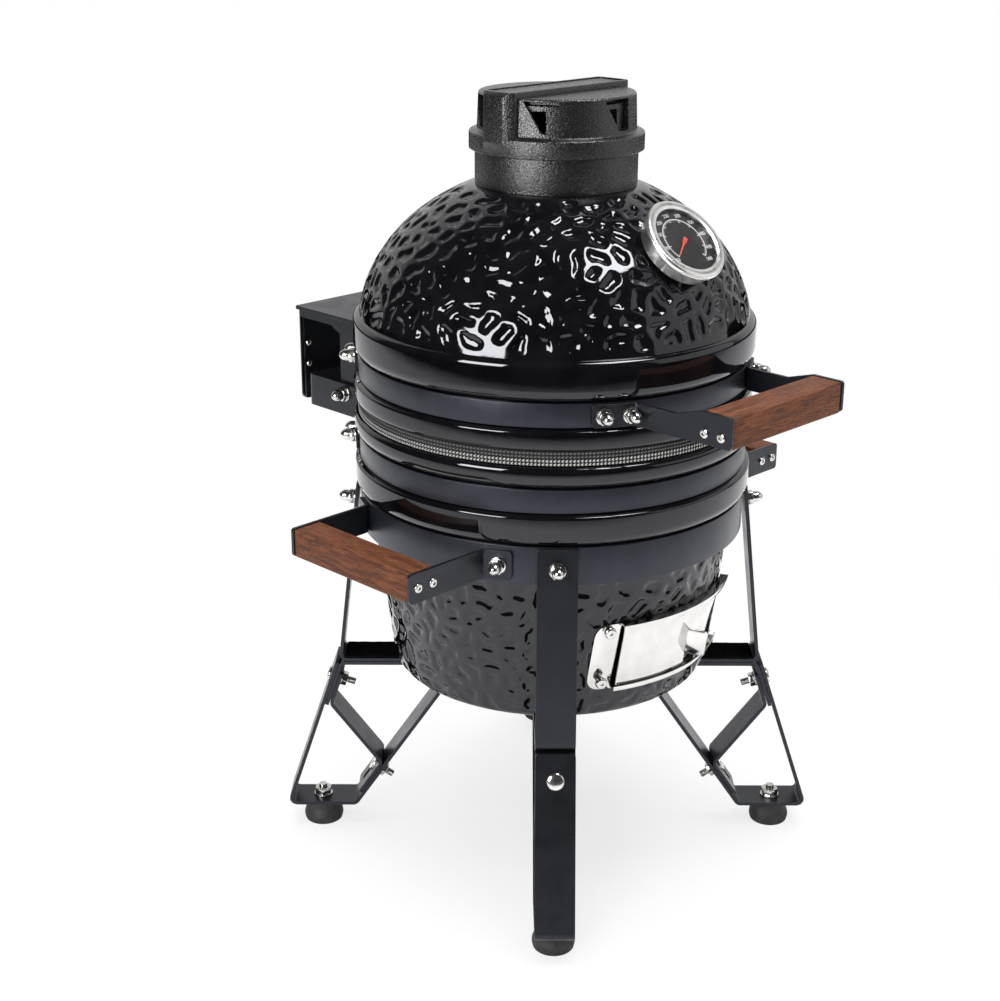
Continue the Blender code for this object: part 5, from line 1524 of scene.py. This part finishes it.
def make_frame_screws():
    """Tall screws that stop the door at one end, and flat ones that it slides over at the other."""
    screws = []
    for height in FRAME_SCREW_HEIGHTS:
        stop = frame_place(STOP_AZIMUTH_DEG, height)
        screws.append(turned("collar", disc(STOP_COLLAR_RADIUS, 0, STOP_COLLAR_HEIGHT), NUT_STEPS, stop))
        head = stop @ Matrix.Translation((0, 0, STOP_COLLAR_HEIGHT))
        screws += pan_screw(head, STOP_HEAD_RADIUS, STOP_HEAD_HEIGHT)
        screws += pan_screw(frame_place(FLAT_AZIMUTH_DEG, height), STOP_HEAD_RADIUS, SCREW_HEIGHT)
    add_hardware("draft_frame_screws", "base", screws)


# Inside the base


def make_clay_ring(node, corners, cutters=()):
    """A turned ring of fire clay; each corner is (radius, height)."""
    ring = turned(node, filleted([(radius, height, CLAY_ROUND) for radius, height in corners]))
    if cutters:
        ring = carve(ring, cutters)
    add_finished(node, ring, CLAY, "base")


def make_fire_parts():
    wall = [
        (FIREBOX_TOP_RADIUS, FIREBOX_TOP),
        (FIREBOX_FOOT_RADIUS, FIREBOX_LOW),
        (FIREBOX_FOOT_RADIUS - FIREBOX_WALL, FIREBOX_LOW),
        (FIREBOX_TOP_RADIUS - FIREBOX_WALL, FIREBOX_TOP),
    ]
    half = AIR_HOLE_WIDTH / 2
    arch = block(-half, FIREBOX_LOW - FLOOR, half, FIREBOX_FLOOR_LOW - FRAME_MARGIN)
    make_clay_ring("firebox", wall, [upright_prism("arch", arch, GRATE_HOLE_RADIUS, LIP_RADIUS, -90)])
    grow = (FIREBOX_TOP_RADIUS - FIREBOX_FOOT_RADIUS) / (FIREBOX_TOP - FIREBOX_LOW)
    edge = FIREBOX_FOOT_RADIUS - FIREBOX_WALL - GAP
    plate = [
        (edge + grow * (FIREBOX_FLOOR_TOP - FIREBOX_LOW), FIREBOX_FLOOR_TOP),
        (edge + grow * (FIREBOX_FLOOR_LOW - FIREBOX_LOW), FIREBOX_FLOOR_LOW),
        (GRATE_HOLE_RADIUS, FIREBOX_FLOOR_LOW),
        (GRATE_HOLE_RADIUS, FIREBOX_FLOOR_TOP),
    ]
    make_clay_ring("firebox_floor", plate)
    inside, outside = FIREBOX_TOP_RADIUS - FIREBOX_WALL, FIREBOX_TOP_RADIUS
    ring = [(inside, RING_LOW), (outside, RING_LOW), (outside, RING_TOP), (inside, RING_TOP)]
    make_clay_ring("fire_ring", ring)
    eased("charcoal_grate", IRON, "base")
    make_cooking_grid()


def make_cooking_grid():
    """Round rods across a round ring."""
    middle = (GRID_LOW + GRID_TOP) / 2
    hoop = FIREBOX_TOP_RADIUS - GRID_ROD
    section = circle(GRID_ROD, ROD_STEPS)
    meshes = [turned("hoop", [Vector((hoop, middle)) + point for point in section])]
    for index in range(GRID_ROD_COUNT):
        across = (index - (GRID_ROD_COUNT - 1) / 2) * GRID_PITCH
        reach = math.sqrt(hoop**2 - across**2)
        place = seat(Vector((across, AXIS_Y, middle)), Vector((0, 1, 0)))
        meshes.append(prism("rod", section, -reach, reach, place))
    add_finished("cooking_grid", joined("cooking_grid", meshes), RODS, "base", smooth_deg=50.0)


# Light, floor and camera


def add_area_light(name, azimuth_deg, height_deg, size, watts, kind):
    """A lamp that faces the middle of the grill, seen only by diffuse light or only in reflections."""
    light = bpy.data.lights.new(name, "AREA")
    light.shape = "RECTANGLE"
    light.size, light.size_y = size
    light.energy = watts
    lamp = add_object(name, light)
    rise = math.radians(height_deg)
    toward = away(azimuth_deg) * math.cos(rise) + Vector((0, 0, math.sin(rise)))
    lamp.location = Vector(MIDDLE) + toward * LAMP_DISTANCE
    lamp.rotation_euler = (-toward).to_track_quat("-Z", "Y").to_euler()
    lamp.visible_diffuse = kind == "diffuse"
    lamp.visible_glossy = kind == "glossy"


def make_world():
    """White to the camera; a soft room to everything else, dark on the side the camera stands."""
    world = bpy.data.worlds.new("studio")
    bpy.context.scene.world = world
    world.use_nodes = True
    tree = world.node_tree
    room = tree.nodes["Background"]
    feed(room, {"Color": (*ROOM_COLOUR, 1.0)})
    place = add_node(tree, "TexCoord")["Generated"]
    facing = add_node(tree, "VectorMath", {0: place, 1: away(CAMERA_HEADING_DEG)}, operation="DOT_PRODUCT")
    strength = add_range(tree, facing["Value"], MIRROR_DARK, MIRROR_BRIGHT, MIRROR_FROM, MIRROR_TO)
    mirrored = add_node(tree, "Background", {"Strength": strength})["Background"]
    white = add_node(tree, "Background", {"Color": (*WHITE, 1.0)})["Background"]
    seen = add_node(tree, "LightPath")
    soft = add_mix(tree, seen["Is Glossy Ray"], room.outputs["Background"], mirrored)
    feed(tree.nodes["World Output"], {"Surface": add_mix(tree, seen["Is Camera Ray"], soft, white)})


def make_floor():
    """Pale floor round the grill that turns into the white background further out."""
    finish = surface("floor", FLOOR_DARK, FLOOR_LIGHT, (0.75, 0.85), cloud=1.0, grain=50.0, depth=0.00001)
    tree = finish.node_tree
    output = tree.nodes["Material Output"]
    paint = output.inputs["Surface"].links[0].from_socket
    place = add_node(tree, "TexCoord")["Object"]
    seen = add_node(tree, "LightPath")
    reach = add_node(tree, "VectorMath", {0: place}, operation="LENGTH")["Value"]
    far = add_range(tree, reach, FLOOR_WHITEN, 1.0, 0.0, FLOOR_FADE)
    fade = add_math(tree, "MULTIPLY", far, seen["Is Camera Ray"])
    pale = add_mix(tree, fade, paint, add_node(tree, "Emission", {"Color": (*WHITE, 1.0)})["Emission"])

    # Reflections see the floor end where the studio's white paper ends, on the camera's side
    centre = away(CAMERA_HEADING_DEG) * PAPER_SHIFT
    shift = add_node(tree, "VectorMath", {0: place, 1: centre}, operation="SUBTRACT")["Vector"]
    reach = add_node(tree, "VectorMath", {0: shift}, operation="LENGTH")["Value"]
    beyond = add_range(tree, reach, 0.0, 1.0, PAPER_FROM, PAPER_TO)
    hidden = add_math(tree, "MULTIPLY", beyond, seen["Is Glossy Ray"])
    dark = add_node(tree, "Emission", {"Color": (*BLACK, 1.0)})["Emission"]
    feed(output, {"Surface": add_mix(tree, hidden, pale, dark)})
    half = FLOOR_SIZE / 2
    corners = [(-half, -half, 0), (half, -half, 0), (half, half, 0), (-half, half, 0)]
    floor = add_object("floor", build_mesh("floor", corners, [(0, 1, 2, 3)]))
    floor.data.materials.append(finish)


def make_camera():
    lens = bpy.data.cameras.new("camera")
    lens.lens = CAMERA_LENS
    lens.sensor_width = CAMERA_SENSOR
    lens.sensor_fit = "HORIZONTAL"
    camera = add_object("camera", lens)
    camera.location = Vector(CAMERA_PLACE) + Vector((0, AXIS_Y, 0))
    pitch = math.radians(CAMERA_PITCH_DEG)
    forward = away(CAMERA_HEADING_DEG) * math.cos(pitch) - Vector((0, 0, math.sin(pitch)))
    roll = Quaternion((0, 0, 1), math.radians(CAMERA_ROLL_DEG))
    camera.rotation_mode = "QUATERNION"
    camera.rotation_quaternion = forward.to_track_quat("-Z", "Y") @ roll
    bpy.context.scene.camera = camera


# The grill, then its studio
make_base_shell()
make_lid_dome()
for node, body in (("base_lower_band", "base"), ("base_upper_band", "base"), ("lid_band", "lid")):
    make_band(node, body)
make_gasket("base_gasket", "base", GASKET)
# The lid gasket gets the darker braid as painted shade, for the lid's shadow
make_gasket("lid_gasket", "lid", DARK_GASKET)
# Each shelf gets a near-black sheet of painted shade
shade_sheet_draw = random.Random(SHADE_SHEET_SEED)
for corner, azimuth in LEG_AZIMUTHS_DEG.items():
    make_leg(corner, azimuth)
    make_pad(corner, azimuth, shade_sheet_draw)
make_handles()
make_hinge()
make_vent()
make_thermometer()
make_draft_frame()
make_draft_door()
make_frame_screws()
make_fire_parts()
make_world()
make_floor()
make_camera()

# Lamps, by azimuth, angle above the floor, size, watts and the light that sees them
add_area_light("overhead", 45.0, 85.0, (2.4, 2.4), 85.0, "diffuse")
add_area_light("front_fill", -150.0, 28.0, (1.5, 1.5), 22.0, "diffuse")
add_area_light("left_box", -175.0, 14.0, (1.0, 1.0), 60.0, "glossy")
add_area_light("top_box", -75.0, 64.0, (1.0, 0.7), 45.0, "glossy")
add_area_light("right_wall", -52.0, 16.0, (2.6, 1.9), 14.0, "glossy")
bpy.context.scene.view_settings.view_transform = "Standard"
